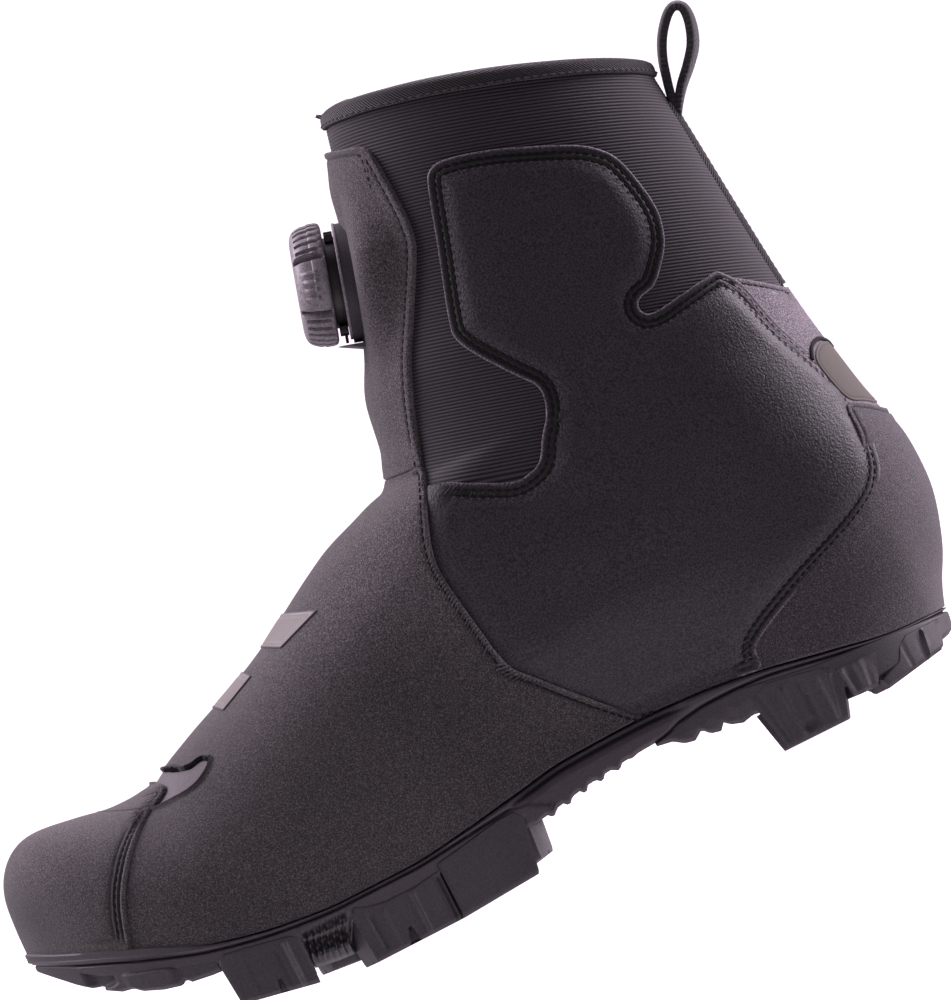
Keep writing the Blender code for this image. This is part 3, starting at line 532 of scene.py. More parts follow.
def segment_distance(points, line):
    """Distance of each point to a polyline, in chunks that stay small."""
    starts, ends = line[:-1], line[1:]
    runs = ends - starts
    lengths = np.maximum(1e-12, np.einsum("ij,ij->i", runs, runs))
    found = np.empty(len(points))
    for begin in range(0, len(points), 2000):
        part = points[begin:begin + 2000, None, :] - starts[None]
        share = np.clip(np.einsum("kij,ij->ki", part, runs) / lengths, 0.0, 1.0)
        gaps = part - share[..., None] * runs[None]
        found[begin:begin + 2000] = np.sqrt(np.einsum("kij,kij->ki", gaps, gaps).min(axis=1))
    return found


def resampled(chain, spacing):
    """Chart points along a chain, evenly spaced on the skin."""
    chain = np.asarray(chain, float)
    for _ in range(2):
        run = run_of(skin(chain[:, 0], chain[:, 1]))
        count = max(4, int(round(run[-1] / spacing)))
        wanted = np.linspace(0.0, run[-1], count + 1)
        chain = np.stack([np.interp(wanted, run, chain[:, n]) for n in range(2)], axis=-1)
    return chain


def beside(chain, distance, closed=True):
    """A chart chain moved inwards over the skin, to its left as seen from outside."""
    around, upward = tangents(chain[:, 0], chain[:, 1])
    places = place(chain[:, 0], chain[:, 1])
    if closed:
        run = np.roll(places, -1, axis=0) - np.roll(places, 1, axis=0)
    else:
        run = np.gradient(places, axis=0)
    normal = unit(np.cross(upward, around))
    left = unit(np.cross(normal, unit(run))) * distance
    aa = np.einsum("ij,ij->i", around, around)
    uu = np.einsum("ij,ij->i", upward, upward)
    au = np.einsum("ij,ij->i", around, upward)
    la = np.einsum("ij,ij->i", left, around)
    lu = np.einsum("ij,ij->i", left, upward)
    det = np.maximum(1e-14, aa * uu - au * au)
    change = np.stack(((la * uu - lu * au) / det, (lu * aa - la * au) / det), axis=-1)
    moved = chain + change
    moved[:, 1] = np.clip(moved[:, 1], 0.0, len(LOOPS) - 1.0)
    return moved


def inside_of(points, loop):
    """True for points inside a closed loop of the chart."""
    x, y = points[:, 0], points[:, 1]
    within = np.zeros(len(points), bool)
    for a, b in zip(loop, np.roll(loop, -1, axis=0)):
        crosses = (a[1] > y) != (b[1] > y)
        if not crosses.any():
            continue
        at_y = a[0] + (y - a[1]) / (b[1] - a[1] + 1e-15) * (b[0] - a[0])
        within ^= crosses & (x < at_y)
    return within


DETAIL_ROWS = (-2.4, -1.7, -1.1, -0.6, -0.2, 0.0, 0.2, 0.6, 1.1, 1.7, 2.4)
EDGE_ROWS = (
    0.12, 0.30, 0.55, 0.90, 1.30, 1.70, 2.10, 2.50, 2.95, 3.45, 3.90, 4.40, 5.00, 5.80,
)


def panel(name, loop, height, under, spacing=2.2, edge_spacing=1.1, details=(), tone=None):
    """A closed panel over the skin: loop in the chart, counterclockwise as seen from
    outside, height(distance to its edge, places) and the underside's offset. Details
    are loops inside it whose edges need finer rows. Tone darkens or lightens the finish by the
    same two values, as painted shade and painted highlights."""
    loop = resampled(np.vstack((loop, loop[:1])), edge_spacing * MM)[:-1]
    closed = np.vstack((loop, loop[:1]))
    edge_line = place(closed[:, 0], closed[:, 1])
    around, upward = tangents(loop[:, 0], loop[:, 1])
    scale = np.array([
        np.linalg.norm(around, axis=1).mean(), np.linalg.norm(upward, axis=1).mean()
    ])
    rings = [loop]
    for distance in EDGE_ROWS:
        row = beside(loop, distance * MM)
        gap = segment_distance(place(row[:, 0], row[:, 1]), edge_line)
        keep = (gap > 0.93 * distance * MM) & inside_of(row, loop)
        rings.append(row[keep])
    low, high = loop.min(axis=0) * scale, loop.max(axis=0) * scale
    pitch = spacing * MM
    us = np.arange(low[0], high[0], pitch)
    vs = np.arange(low[1], high[1], pitch * 0.87)
    grid = np.array([
        (u + (0.5 * pitch if row % 2 else 0.0), v) for row, v in enumerate(vs) for u in us
    ]) / scale
    grid = grid[inside_of(grid, loop)]
    gap = segment_distance(place(grid[:, 0], grid[:, 1]), edge_line)
    inner = grid[gap > (EDGE_ROWS[-1] + 0.6 * spacing) * MM]
    for detail in details:
        line = place(*np.vstack((detail, detail[:1])).T)
        near = segment_distance(place(inner[:, 0], inner[:, 1]), line)
        inner = inner[near > 3.0 * MM]
        for distance in DETAIL_ROWS:
            row = beside(detail, distance * MM)
            row_places = place(row[:, 0], row[:, 1])
            keep = segment_distance(row_places, line) > 0.93 * abs(distance) * MM
            keep &= segment_distance(row_places, edge_line) > (EDGE_ROWS[-1] + 0.3) * MM
            rings.append(row[keep & inside_of(row, loop)])
    rings.append(inner)
    top_chart = np.vstack(rings)
    count = len(loop)
    border = [list(range(count))]

    def triangles(points):
        found = delaunay_2d_cdt([Vector(p * scale * 1000) for p in points], [], border, 1, 1e-7)
        order = [ids[0] if ids else -1 for ids in found[3]]
        return found[0], found[2], order

    made, faces, _ = triangles(top_chart)
    top_chart = np.array([tuple(v) for v in made]) / scale / 1000
    places_at = place(top_chart[:, 0], top_chart[:, 1])
    gap = segment_distance(places_at, edge_line)
    lift = height(gap / MM, places_at) * MM
    top = skin(top_chart[:, 0], top_chart[:, 1], lift)
    sparse = grid[::7]
    deep = segment_distance(place(sparse[:, 0], sparse[:, 1]), edge_line) > 3 * MM
    made, under_faces, _ = triangles(np.vstack((loop, sparse[deep])))
    under_chart = np.array([tuple(v) for v in made]) / scale / 1000
    bottom = skin(under_chart[:, 0], under_chart[:, 1], under * MM)
    points = np.vstack((top, bottom))
    base = len(top)
    faces = [tuple(face) for face in faces]
    walls = [(k, base + k, base + (k + 1) % count, (k + 1) % count) for k in range(count)]
    flipped = [tuple(base + i for i in reversed(face)) for face in under_faces]
    obj = mesh_object(name, points, faces + walls + flipped)
    shades = np.ones(len(points))
    if tone:
        shades[:base] = tone(gap / MM, places_at)
    write_tone(obj, shades)
    outward(obj)
    return obj


def write_tone(obj, shades):
    layer = obj.data.attributes.new("tone", "FLOAT", "POINT")
    layer.data.foreach_set("value", np.asarray(shades, np.float32))


def tone_by_place(obj, tone):
    """Writes each vertex's tone, worked out from its x and z."""
    spots = np.empty(len(obj.data.vertices) * 3, np.float32)
    obj.data.vertices.foreach_get("co", spots)
    spots = spots.reshape(-1, 3)
    write_tone(obj, np.broadcast_to(tone(spots[:, 0], spots[:, 2]), len(spots)))


def line_at(gap, at_gap, width):
    """1 on a line beside an edge, fading to 0 on both sides of it."""
    return np.exp(-((gap - at_gap) / width) ** 2)


def rolled_edge(top, radius):
    """Height over the distance to the edge, round from a wall up to the top."""
    def height(gap, places):
        share = np.clip(gap / radius, 0.0, 1.0)
        return top - radius * (1.0 - np.sqrt(np.maximum(0.0, share * (2.0 - share))))
    return height


def groove(gap, at_gap, width, depth):
    return -depth * np.exp(-((gap - at_gap) / width) ** 2)


def mirrored(chain):
    """The same chart chain on the lateral side, in the other direction."""
    return np.stack((2 * math.pi - chain[::-1, 0], chain[::-1, 1]), axis=-1)


STITCH_SIDES = 6
STITCH_RINGS = (
    # place along the stitch, thickness
    (-0.50, 0.30), (-0.38, 0.85), (0.0, 1.00), (0.38, 0.85), (0.50, 0.30),
)


def stitch_mesh(name, spots, long, thick, finish, slot="webbing"):
    """Threads at spots, each with its middle and its directions ahead, outwards and across."""
    points, faces = [], []
    for m, f, n, c in spots:
        base = len(points)
        for along, size in STITCH_RINGS:
            dip = -0.35 * thick * (abs(along) > 0.45)
            for k in range(STITCH_SIDES):
                turn = 2 * math.pi * k / STITCH_SIDES
                points.append(
                    m + f * along * long + c * math.cos(turn) * size * thick / 2
                    + n * (math.sin(turn) * size * thick / 2 + dip)
                )
        for r in range(len(STITCH_RINGS) - 1):
            for k in range(STITCH_SIDES):
                low, after = base + r * STITCH_SIDES, (k + 1) % STITCH_SIDES
                faces.append((
                    low + k, low + after, low + STITCH_SIDES + after, low + STITCH_SIDES + k
                ))
        faces.append(tuple(base + k for k in range(STITCH_SIDES)))
        last = base + (len(STITCH_RINGS) - 1) * STITCH_SIDES
        faces.append(tuple(last + k for k in reversed(range(STITCH_SIDES))))
    obj = mesh_object(name, points, faces)
    outward(obj)
    return settle(obj, slot, finish)


def stitches(name, chains, long, pitch, thick, finish, slot="webbing"):
    """Short thread stitches along lines of the chart: chain and height over the skin."""
    spots = []
    for chain, out in chains:
        run = run_of(skin(chain[:, 0], chain[:, 1]))
        starts = np.arange(0.6 * pitch, run[-1] - 0.6 * pitch, pitch)
        if not len(starts):
            continue
        a, v = (np.interp(starts, run, chain[:, n]) for n in range(2))
        b, w = (np.interp(starts + 0.2 * pitch, run, chain[:, n]) for n in range(2))
        middle = skin(a, v, out)
        ahead = unit(skin(b, w, out) - middle)
        around, upward = tangents(a, v)
        normal = unit(np.cross(upward, around))
        across = unit(np.cross(normal, ahead))
        spots += zip(middle, ahead, normal, across)
    return stitch_mesh(name, spots, long, thick, finish, slot)


# Finishes


class Finish:
    """Builds one material's nodes around its Principled shader."""

    def __init__(self, name, colour, roughness, specular=0.5, sheen=0.0, sheen_roughness=0.5):
        self.made = bpy.data.materials.new(name)
        self.made.use_nodes = True
        self.tree = self.made.node_tree
        self.shader = self.tree.nodes["Principled BSDF"]
        self.colour = tuple(colour)
        self.shader.inputs["Base Color"].default_value = (*colour, 1.0)
        self.shader.inputs["Roughness"].default_value = roughness
        self.shader.inputs["Specular IOR Level"].default_value = specular
        self.shader.inputs["Sheen Weight"].default_value = sheen
        self.shader.inputs["Sheen Roughness"].default_value = sheen_roughness
        self.coordinates = self.node("ShaderNodeTexCoord")
        self.last_bump = None

    def node(self, kind, **settings):
        made = self.tree.nodes.new(kind)
        for key, value in settings.items():
            setattr(made, key, value)
        return made

    def link(self, start, end):
        self.tree.links.new(start, end)

    def place(self, uv=False, scale=(1, 1, 1), turn=(0, 0, 0)):
        mapping = self.node("ShaderNodeMapping")
        mapping.inputs["Scale"].default_value = scale
        mapping.inputs["Rotation"].default_value = turn
        self.link(self.coordinates.outputs["UV" if uv else "Object"], mapping.inputs["Vector"])
        return mapping.outputs["Vector"]

    def noise(self, size, detail=2.0, rough=0.5, where=None):
        """Noise whose spots are about size millimetres across."""
        made = self.node("ShaderNodeTexNoise")
        made.inputs["Scale"].default_value = 1.0 / (size * MM)
        made.inputs["Detail"].default_value = detail
        made.inputs["Roughness"].default_value = rough
        self.link(where or self.place(), made.inputs["Vector"])
        return made.outputs["Fac"]

    def cells(self, size, feature="F1", where=None):
        made = self.node("ShaderNodeTexVoronoi", feature=feature)
        made.inputs["Scale"].default_value = 1.0 / (size * MM)
        self.link(where or self.place(), made.inputs["Vector"])
        return made.outputs["Distance"]

    def wave(self, where, scale, direction="X", distortion=0.0, profile="SIN"):
        made = self.node("ShaderNodeTexWave", bands_direction=direction, wave_profile=profile)
        made.inputs["Scale"].default_value = scale
        made.inputs["Distortion"].default_value = distortion
        self.link(where, made.inputs["Vector"])
        return made.outputs["Fac"]

    def ramp(self, source, stops):
        made = self.node("ShaderNodeValToRGB")
        elements = made.color_ramp.elements
        while len(elements) < len(stops):
            elements.new(0.5)
        for element, (position, value) in zip(elements, stops):
            element.position = position
            element.color = (value, value, value, 1.0)
        self.link(source, made.inputs["Fac"])
        return made.outputs["Color"]

    def math(self, operation, a, b):
        made = self.node("ShaderNodeMath", operation=operation)
        for socket, value in zip(made.inputs, (a, b)):
            if isinstance(value, (int, float)):
                socket.default_value = value
            else:
                self.link(value, socket)
        return made.outputs["Value"]

    def shaded(self, source, low, high):
        """Base colour times a share that runs from low to high with the source."""
        spread = self.node("ShaderNodeMapRange")
        spread.inputs["To Min"].default_value = low
        spread.inputs["To Max"].default_value = high
        self.link(source, spread.inputs["Value"])
        tint = self.node("ShaderNodeVectorMath", operation="SCALE")
        before = self.shader.inputs["Base Color"].links
        if before:
            self.link(before[0].from_socket, tint.inputs["Vector"])
        else:
            tint.inputs["Vector"].default_value = self.colour
        self.link(spread.outputs["Result"], tint.inputs["Scale"])
        self.link(tint.outputs["Vector"], self.shader.inputs["Base Color"])

    def toned(self):
        """Base colour times the mesh's own tone: painted shade and painted highlights along seams, edges,
        grooves and recesses, and painted shade on lower parts.
        """
        tone = self.node("ShaderNodeAttribute", attribute_name="tone")
        self.shaded(self.math("MULTIPLY", tone.outputs["Fac"], 0.1), 0.0, 10.0)

    def rough(self, source, low, high):
        spread = self.node("ShaderNodeMapRange")
        spread.inputs["To Min"].default_value = low
        spread.inputs["To Max"].default_value = high
        self.link(source, spread.inputs["Value"])
        self.link(spread.outputs["Result"], self.shader.inputs["Roughness"])

    def bump(self, source, distance, strength=1.0):
        made = self.node("ShaderNodeBump")
        made.inputs["Distance"].default_value = distance * MM
        made.inputs["Strength"].default_value = strength
        self.link(source, made.inputs["Height"])
        if self.last_bump:
            self.link(self.last_bump.outputs["Normal"], made.inputs["Normal"])
        self.last_bump = made
        self.link(made.outputs["Normal"], self.shader.inputs["Normal"])


def grained_fabric(name, colour, spread=1.0):
    """Rubberised fabric: a matte coat full of fine light specks."""
    look = Finish(name, colour, 0.74, specular=0.30, sheen=0.22, sheen_roughness=0.45)
    speck = look.noise(0.44, 3.0, 0.75)
    look.shaded(look.ramp(speck, ((0.40, 0.0), (0.52, 0.28), (0.64, 1.0))), 0.28, 1.0 + 2.6 * spread)
    look.shaded(look.noise(34.0, 2.0), 0.86, 1.14)
    look.toned()
    look.rough(look.noise(1.2, 2.0), 0.66, 0.84)
    look.bump(speck, 0.30, 1.0)
    look.bump(look.noise(0.34, 1.0), 0.10, 0.8)
    return look.made


def smooth_leather(name, colour):
    """Smooth synthetic leather with a fine pebble and a soft sheen."""
    look = Finish(name, colour, 0.50, specular=0.30, sheen=0.06, sheen_roughness=0.4)
    pebble = look.cells(0.75, "SMOOTH_F1")
    fine = look.noise(0.52, 2.0, 0.6)
    look.shaded(look.ramp(fine, ((0.40, 0.0), (0.60, 1.0))), 0.30, 1.90)
    look.shaded(look.noise(46.0, 2.0), 0.85, 1.15)
    look.toned()
    look.rough(look.noise(3.0, 3.0), 0.42, 0.58)
    look.bump(pebble, 0.14, 0.9)
    look.bump(fine, 0.16, 1.0)
    return look.made


def ribbed_fabric(name, colour, ribs, columns):
    """Stretch fabric: ribs in the mesh, and fine yarns across them on the UV map."""
    look = Finish(name, colour, 0.82, specular=0.25, sheen=0.22, sheen_roughness=0.5)
    flat = look.place(uv=True, scale=(columns, ribs, 1.0))
    rib = look.wave(flat, math.pi / 10, "Y")
    yarn = look.wave(flat, math.pi / 10, "X", 0.6)
    # Painted light: painted shade between the mesh's ribs and painted highlights on their tops.
    look.shaded(look.ramp(rib, ((0.20, 0.0), (0.80, 1.0))), 0.16, 1.75)
    look.shaded(look.noise(0.5, 2.0, 0.7), 0.60, 1.45)
    look.bump(rib, 0.18, 1.0)
    look.bump(yarn, 0.04, 0.8)
    look.bump(look.noise(0.35, 2.0), 0.06, 0.6)
    return look.made


def twill(name, colour, across, along):
    """Narrow woven tape with diagonal cords, on the UV map."""
    look = Finish(name, colour, 0.86, specular=0.25, sheen=0.25, sheen_roughness=0.5)
    flat = look.place(uv=True, scale=(along, across, 1.0))
    cord = look.wave(flat, math.pi / 10, "DIAGONAL", 0.3)
    look.shaded(cord, 0.45, 1.55)
    look.shaded(look.noise(0.6, 2.0, 0.7), 0.75, 1.30)
    look.bump(cord, 0.28, 1.0)
    look.bump(look.noise(0.30, 2.0), 0.08, 0.7)
    return look.made


def felt(name, colour):
    look = Finish(name, colour, 0.96, specular=0.15, sheen=0.5, sheen_roughness=0.6)
    fluff = look.noise(0.8, 5.0, 0.75)
    look.shaded(fluff, 0.55, 1.60)
    look.shaded(look.noise(18.0, 2.0), 0.85, 1.15)
    look.bump(fluff, 0.35, 0.9)
    return look.made


def moulded(name, colour, roughness, specular=0.45, grain=0.35, wear=0.0, toned=False):
    """Moulded nylon or rubber with a fine eroded surface and a slightly rubbed tone."""
    look = Finish(name, colour, roughness, specular=specular)
    fine = look.noise(grain, 3.0, 0.6)
    look.shaded(look.ramp(fine, ((0.34, 0.0), (0.66, 1.0))), 0.66, 1.40)
    look.shaded(look.noise(14.0, 3.0, 0.6), 0.84, 1.16)
    look.rough(look.noise(5.0, 4.0, 0.6), roughness - 0.09, roughness + 0.10)
    look.bump(fine, 0.09, 0.9)
    look.bump(look.noise(2.6, 2.0), 0.06, 0.4)
    if wear:
        rubbed = look.ramp(look.noise(1.7, 3.0, 0.6), ((0.40, 0.0), (0.60, 1.0)))
        look.shaded(rubbed, 1.0 - wear, 1.0 + wear)
    # The mesh's tone attribute paints shade and highlights into the colour.
    if toned:
        look.toned()
    return look.made


def reflective(name, colour, roughness, specular):
    """Reflective film with a fine crossed lattice pressed into it."""
    look = Finish(name, colour, roughness, specular=specular, sheen=0.1)
    where = look.place(turn=(0.0, math.radians(25), 0.0))
    lattice = look.math(
        "MULTIPLY", look.wave(where, 520.0, "X"), look.wave(where, 520.0, "Z")
    )
    look.shaded(lattice, 0.82, 1.12)
    look.shaded(look.noise(9.0, 3.0), 0.88, 1.10)
    look.toned()
    look.bump(lattice, 0.05, 0.5)
    return look.made


def thread(name, colour):
    look = Finish(name, colour, 0.8, specular=0.15, sheen=0.05)
    ply = look.noise(0.25, 2.0, 0.6)
    look.shaded(ply, 0.6, 1.5)
    look.bump(ply, 0.06, 0.8)
    return look.made


FINISHES = {}


def build_finishes(tones):
    FINISHES.update({
        "grained": grained_fabric("grained_fabric", tones.grained),
        "heel_grained": grained_fabric("heel_fabric", tones.heel, 0.7),
        "leather": smooth_leather("smooth_leather", tones.leather),
        "ribbed": ribbed_fabric("ribbed_fabric", tones.ribbed, RIBS, 420),
        "binding": twill("binding_tape", tones.tape, 46, 510),
        "webbing": twill("loop_webbing", tones.tape, 110, 52),
        "lining": felt("lining_fleece", tones.lining),
        "insole": felt("insole_felt", tones.insole),
        "nylon": moulded("sole_nylon", tones.nylon, 0.46, toned=True),
        "rubber": moulded("sole_rubber", tones.rubber, 0.60, 0.40, 0.45, toned=True),
        "dial_grey": moulded("dial_grey", tones.dial_grey, 0.40, 0.5, 0.6, wear=0.12),
        "dial_black": moulded("dial_black", tones.dial_black, 0.36, 0.5, 0.6),
        "dial_pad": moulded("dial_pad", tones.dial_pad, 0.48, 0.4, 0.5),
        "reflective": reflective("reflective_film", tones.reflective, 0.50, 0.45),
        # The heel film is the reflective film darkened as painted shade, to offset the strong heel light.
        "shaded_heel_film": reflective("shaded_heel_film", tones.shaded_heel_film, 0.80, 0.20),
        "slot_cloth": moulded("slot_cloth", tones.slot_cloth, 0.55, 0.4, 0.4),
        "dark_thread": thread("dark_thread", tones.dark_thread),
        "glint_bump": thread("glint_bump_leather", tones.glint_bump),
        "pale_thread": thread("pale_thread", tones.pale_thread),
        "lace": thread("lace_cord", tones.tape),
    })


# The upper's pieces


def lining_shell():
    """The wall's inner layer, from the feather line up to the collar."""
    def shape(u, v):
        angle = 2 * math.pi * (1 - u)
        level = v * (len(LOOPS) - 1)
        return skin(angle, level, -0.0010)

    obj = laid_grid("lining", 150, 90, shape, ring=True)
    thicken(obj, WALL - 0.0010)
    return settle(obj, "felt", FINISHES["lining"])


def rib_path(v, t):
    """Side view points of the shaft's ribs, which fall towards the heel."""
    back_z = RIB_FOOT_BACK + (BACK_HEIGHT - RIB_FOOT_BACK) * v
    front_z = RIB_FOOT_FRONT + (COLLAR_HEIGHT - RIB_FOOT_FRONT) * v
    start, stop = back_x(back_z), front_x(front_z)
    x = start + (stop - start) * t
    z = back_z + (front_z - back_z) * t + COLLAR_BULGE * (4 * t * (1 - t)) ** 0.6 * v
    return x, z


def rib_skin(angle, v, out=0.0):
    def spot(a, w):
        x, z = rib_path(w, (1 - np.cos(a)) / 2)
        side = np.where(np.sin(a) >= 0, 1, -1)
        return np.stack((x, centre_y(x) + side * half_width(x, z, side), z), axis=-1)

    small = 0.004
    around = spot(angle + small, v) - spot(angle - small, v)
    upward = spot(angle, np.minimum(1.0, v + small)) - spot(angle, np.maximum(0.0, v - small))
    normal = unit(np.cross(upward, around))
    return spot(angle, v) + normal * np.broadcast_to(out, np.shape(angle))[..., None]


RIBS = 123


def ribbed_shaft():
    """Ribbed stretch fabric of the shaft, with each rib in the mesh."""
    def shape(u, v):
        angle = 2 * math.pi * (1 - u)
        rib = 0.00015 * np.abs(np.sin(math.pi * RIBS * v)) ** 0.8
        return rib_skin(angle, v, rib)

    obj = laid_grid("ribbed_shaft", 120, RIBS * 3, shape, ring=True)
    thicken(obj, 0.0008)
    return settle(obj, "ribbed_fabric", FINISHES["ribbed"], "upper", angle=70)


def side_view_loop(points, closed=True, per_span=6):
    return chart(spline(points, per_span, closed))


def creases(places, table):
    """Soft troughs and ridges: each row is a line in the side view with width and height."""
    lift = np.zeros(len(places))
    x, z = places[:, 0] / MM, places[:, 2] / MM
    for x0, z0, x1, z1, width, high in table:
        run = np.array([x1 - x0, z1 - z0])
        share = np.clip(((x - x0) * run[0] + (z - z0) * run[1]) / (run @ run), 0.0, 1.0)
        gap = np.hypot(x - x0 - share * run[0], z - z0 - share * run[1])
        fade = 0.35 + 0.65 * np.sin(math.pi * np.clip(share, 0.02, 0.98))
        lift += high * fade * np.exp(-(gap / width) ** 2)
    return lift


PANEL_CREASES = (
    # from x, z, to x, z, width, height in millimetres
    (-56.0, 112.0, -96.0, 128.0, 5.0, -0.45),
    (-52.0, 100.0, -92.0, 116.0, 6.5, 0.40),
    (-30.0, 100.0, -74.0, 88.0, 6.0, -0.45),
    (-28.0, 88.0, -70.0, 74.0, 8.0, 0.35),
    (-60.0, 176.0, -100.0, 168.0, 9.0, -0.35),
    (-98.0, 120.0, -126.0, 108.0, 6.0, -0.35),
    (-70.0, 40.0, -110.0, 56.0, 8.0, 0.30),
)
VAMP_CREASES = (
    # from x, z, to x, z, width, height in millimetres
    (84.0, 74.0, 66.0, 50.0, 6.0, -0.40),
    (74.0, 82.0, 50.0, 58.0, 7.0, 0.30),
    (22.0, 108.0, 4.0, 84.0, 7.0, -0.40),
    (8.0, 116.0, -4.0, 96.0, 5.0, -0.35),
)


def ahead_of_vamp_seam(places):
    """How far places lie ahead of the vamp's rear seam in the side view, in millimetres."""
    seam = np.array(VAMP_SEAM)
    return places[:, 0] / MM - np.interp(places[:, 2] / MM, seam[:, 1], seam[:, 0])


def behind_vamp(places):
    """1 where the smooth panel's edge shows, and 0 under the vamp's seam and along the sole."""
    foot = step(-75.5, -73.0, places[:, 0] / MM) * step(36.0, 33.0, places[:, 2] / MM)
    return step(-4.0, -7.0, ahead_of_vamp_seam(places)) * (1.0 - foot)


def make_side_panels(sizes):
    """Smooth leather panels on both sides, with a double row of stitches."""
    top, under, radius = 1.00, -0.30, 0.35
    edge = rolled_edge(top, radius)
    rows = (2.1, 3.9)

    def height(gap, places):
        lift = edge(gap, places) + 0.85 * step(4.3, 8.5, gap)
        lift += sum(groove(gap, row, 0.45, 0.45) for row in rows) * behind_vamp(places)
        lift += creases(places, PANEL_CREASES) * step(4.5, 12.0, gap)
        return lift + (0.55 - lift) * step(-1.2, 0.4, ahead_of_vamp_seam(places))

    # Painted light: a painted highlight along the panel's edge and along its bulge at 5.2 mm, and painted
    # shade in the recessed stitch band, darker higher up, and in the two stitch grooves.
    def tone(gap, places):
        band = 0.45 + 0.40 * step(112.0, 92.0, places[:, 2] / MM)
        band = band + (1.0 - band) * step(4.2, 4.9, gap)
        lines = 0.45 * line_at(gap, 5.2, 1.0) + 7.0 * line_at(gap, 0.0, 0.42)
        lines = lines - 0.35 * sum(line_at(gap, row, 0.45) for row in rows)
        return 1.0 + (band - 1.0 + lines) * behind_vamp(places)

    loop = resampled(side_view_loop(SIDE_PANEL + SIDE_PANEL[:1], closed=False), 1.0 * MM)
    loop = loop[:-1]
    if turning(loop) < 0:
        loop = loop[::-1]
    for name, ring in (("medial", loop), ("lateral", mirrored(loop))):
        obj = panel(f"side_panel_{name}", ring, height, under, tone=tone)
        settle(obj, "rubberised_fabric", FINISHES["leather"], angle=50)
        whole = np.vstack((ring, ring[:1]))
        chains = [(visible_part(beside(whole[:-1], row * MM)), 0.72 * MM) for row in rows]
        stitches(
            f"side_panel_stitches_{name}", chains, sizes.stitch_long, sizes.stitch_pitch,
            sizes.thread, FINISHES["dark_thread"],
        )
        # Pale bumps between the stitches, whose light colour paints glints on them.
        stitches(
            f"side_panel_glint_bumps_{name}", [(visible_part(beside(whole[:-1], 4.65 * MM)), 0.98 * MM)],
            0.55 * sizes.stitch_long, sizes.stitch_pitch, 0.8 * sizes.thread, FINISHES["glint_bump"],
            slot="rubberised_fabric",
        )


def turning(loop):
    """Positive for a loop that runs counterclockwise as seen from outside."""
    x, y = loop[:, 0], loop[:, 1]
    area = 0.5 * np.sum(x * np.roll(y, -1) - y * np.roll(x, -1))
    return -area


def visible_part(row):
    """Leaves out the stretch of a side panel's row that lies under the vamp or the sole."""
    points = place(row[:, 0], row[:, 1]) / MM
    seam = np.array(VAMP_SEAM)
    limit = np.interp(points[:, 2], seam[:, 1], seam[:, 0])
    foot = (points[:, 0] > -74.5) & (points[:, 2] < 34.0)
    shown = (points[:, 0] < limit - 5.0) & (row[:, 1] > 0.06) & ~foot
    if shown.all():
        return row
    start = int(np.argmax(~shown))
    order = np.roll(np.arange(len(row)), -start)
    kept = order[shown[order]]
    return row[kept]


def wrap_loop(seam):
    """A loop over the front of the shoe: up a seam on the medial side, over, and down the other."""
    up = resampled(chart(spline(seam, 8)), 1.0 * MM)
    down = mirrored(up)
    over = np.array([up[-1] + (down[0] - up[-1]) * s for s in np.linspace(0, 1, 40)[1:-1]])
    foot = np.array([down[-1] + (up[0] - down[-1]) * s for s in np.linspace(0, 1, 160)[1:-1]])
    return np.vstack((up, over, down, foot))


def along_rear_seam(x, z):
    """1 along the vamp's rear seam, and 0 on its other edges and under the flap's lower end."""
    under_flap = step(112.0, 115.0, z) * step(-19.0, -15.0, x)
    return step(20.0, 4.0, x) * step(30.0, 40.0, z) * (1.0 - under_flap)


def make_vamp(sizes):
    """Grained vamp over the forefoot and instep, with a rolled edge on its rear seam."""
    top, under, radius = 1.30, -0.20, 0.60
    loop = wrap_loop(VAMP_SEAM)
    loop[:, 1] = np.maximum(loop[:, 1], 0.0)
    edge = rolled_edge(top, radius)

    opening, _ = slot_loop()
    opening = opening if turning(opening) > 0 else opening[::-1]
    opening = resampled(np.vstack((opening, opening[:1])), 0.8 * MM)[:-1]
    slot_line = place(*np.vstack((opening, opening[:1])).T)

    def height(gap, places):
        x, z = places[:, 0] / MM, places[:, 2] / MM
        rear = along_rear_seam(x, z)
        roll = 0.90 * line_at(gap, 0.7, 1.2) * rear
        row = groove(gap, 1.9, 0.42, 0.50) * rear
        slot = segment_distance(places, slot_line) / MM
        within = inside_slot(places, opening)
        lip = 0.85 * np.exp(-((slot - 0.7) / 0.8) ** 2) + groove(slot, 2.0, 0.35, 0.35)
        whole = edge(gap, places) + roll + row
        whole += creases(places, VAMP_CREASES) * step(4.0, 12.0, gap) * step(3.0, 9.0, slot)
        return np.where(within, -0.1, whole + lip - np.clip(1 - slot / 0.25, 0, 1) * 0.5)

    # Painted light: a painted highlight along the rolled rear edge, stronger low down, painted shade in its
    # stitch groove and along the slot's rim, and painted shade towards the bottom.
    def tone(gap, places):
        x, z = places[:, 0] / MM, places[:, 2] / MM
        rear = along_rear_seam(x, z)
        pale = 0.8 + 2.6 * step(92.0, 76.0, z)
        seam = pale * line_at(gap, 0.0, 0.34) - 0.75 * line_at(gap, 1.9, 0.55)
        slot = segment_distance(places, slot_line) / MM
        low = 1.0 - 0.38 * step(96.0, 66.0, z)
        return low + seam * rear - 0.80 * line_at(slot, 0.4, 1.0)

    if turning(loop) < 0:
        loop = loop[::-1]
    obj = panel("vamp", loop, height, under, details=(opening,), tone=tone)
    settle(obj, "rubberised_fabric", FINISHES["grained"], angle=50)
    up = resampled(chart(spline(VAMP_SEAM, 8)), 1.0 * MM)
    row = beside(up, 1.9 * MM, closed=False)
    chains = [(row, 1.42 * MM), (mirrored(row), 1.42 * MM)]
    stitches(
        "vamp_stitches", chains, sizes.stitch_long, sizes.stitch_pitch, sizes.thread,
        FINISHES["dark_thread"],
    )


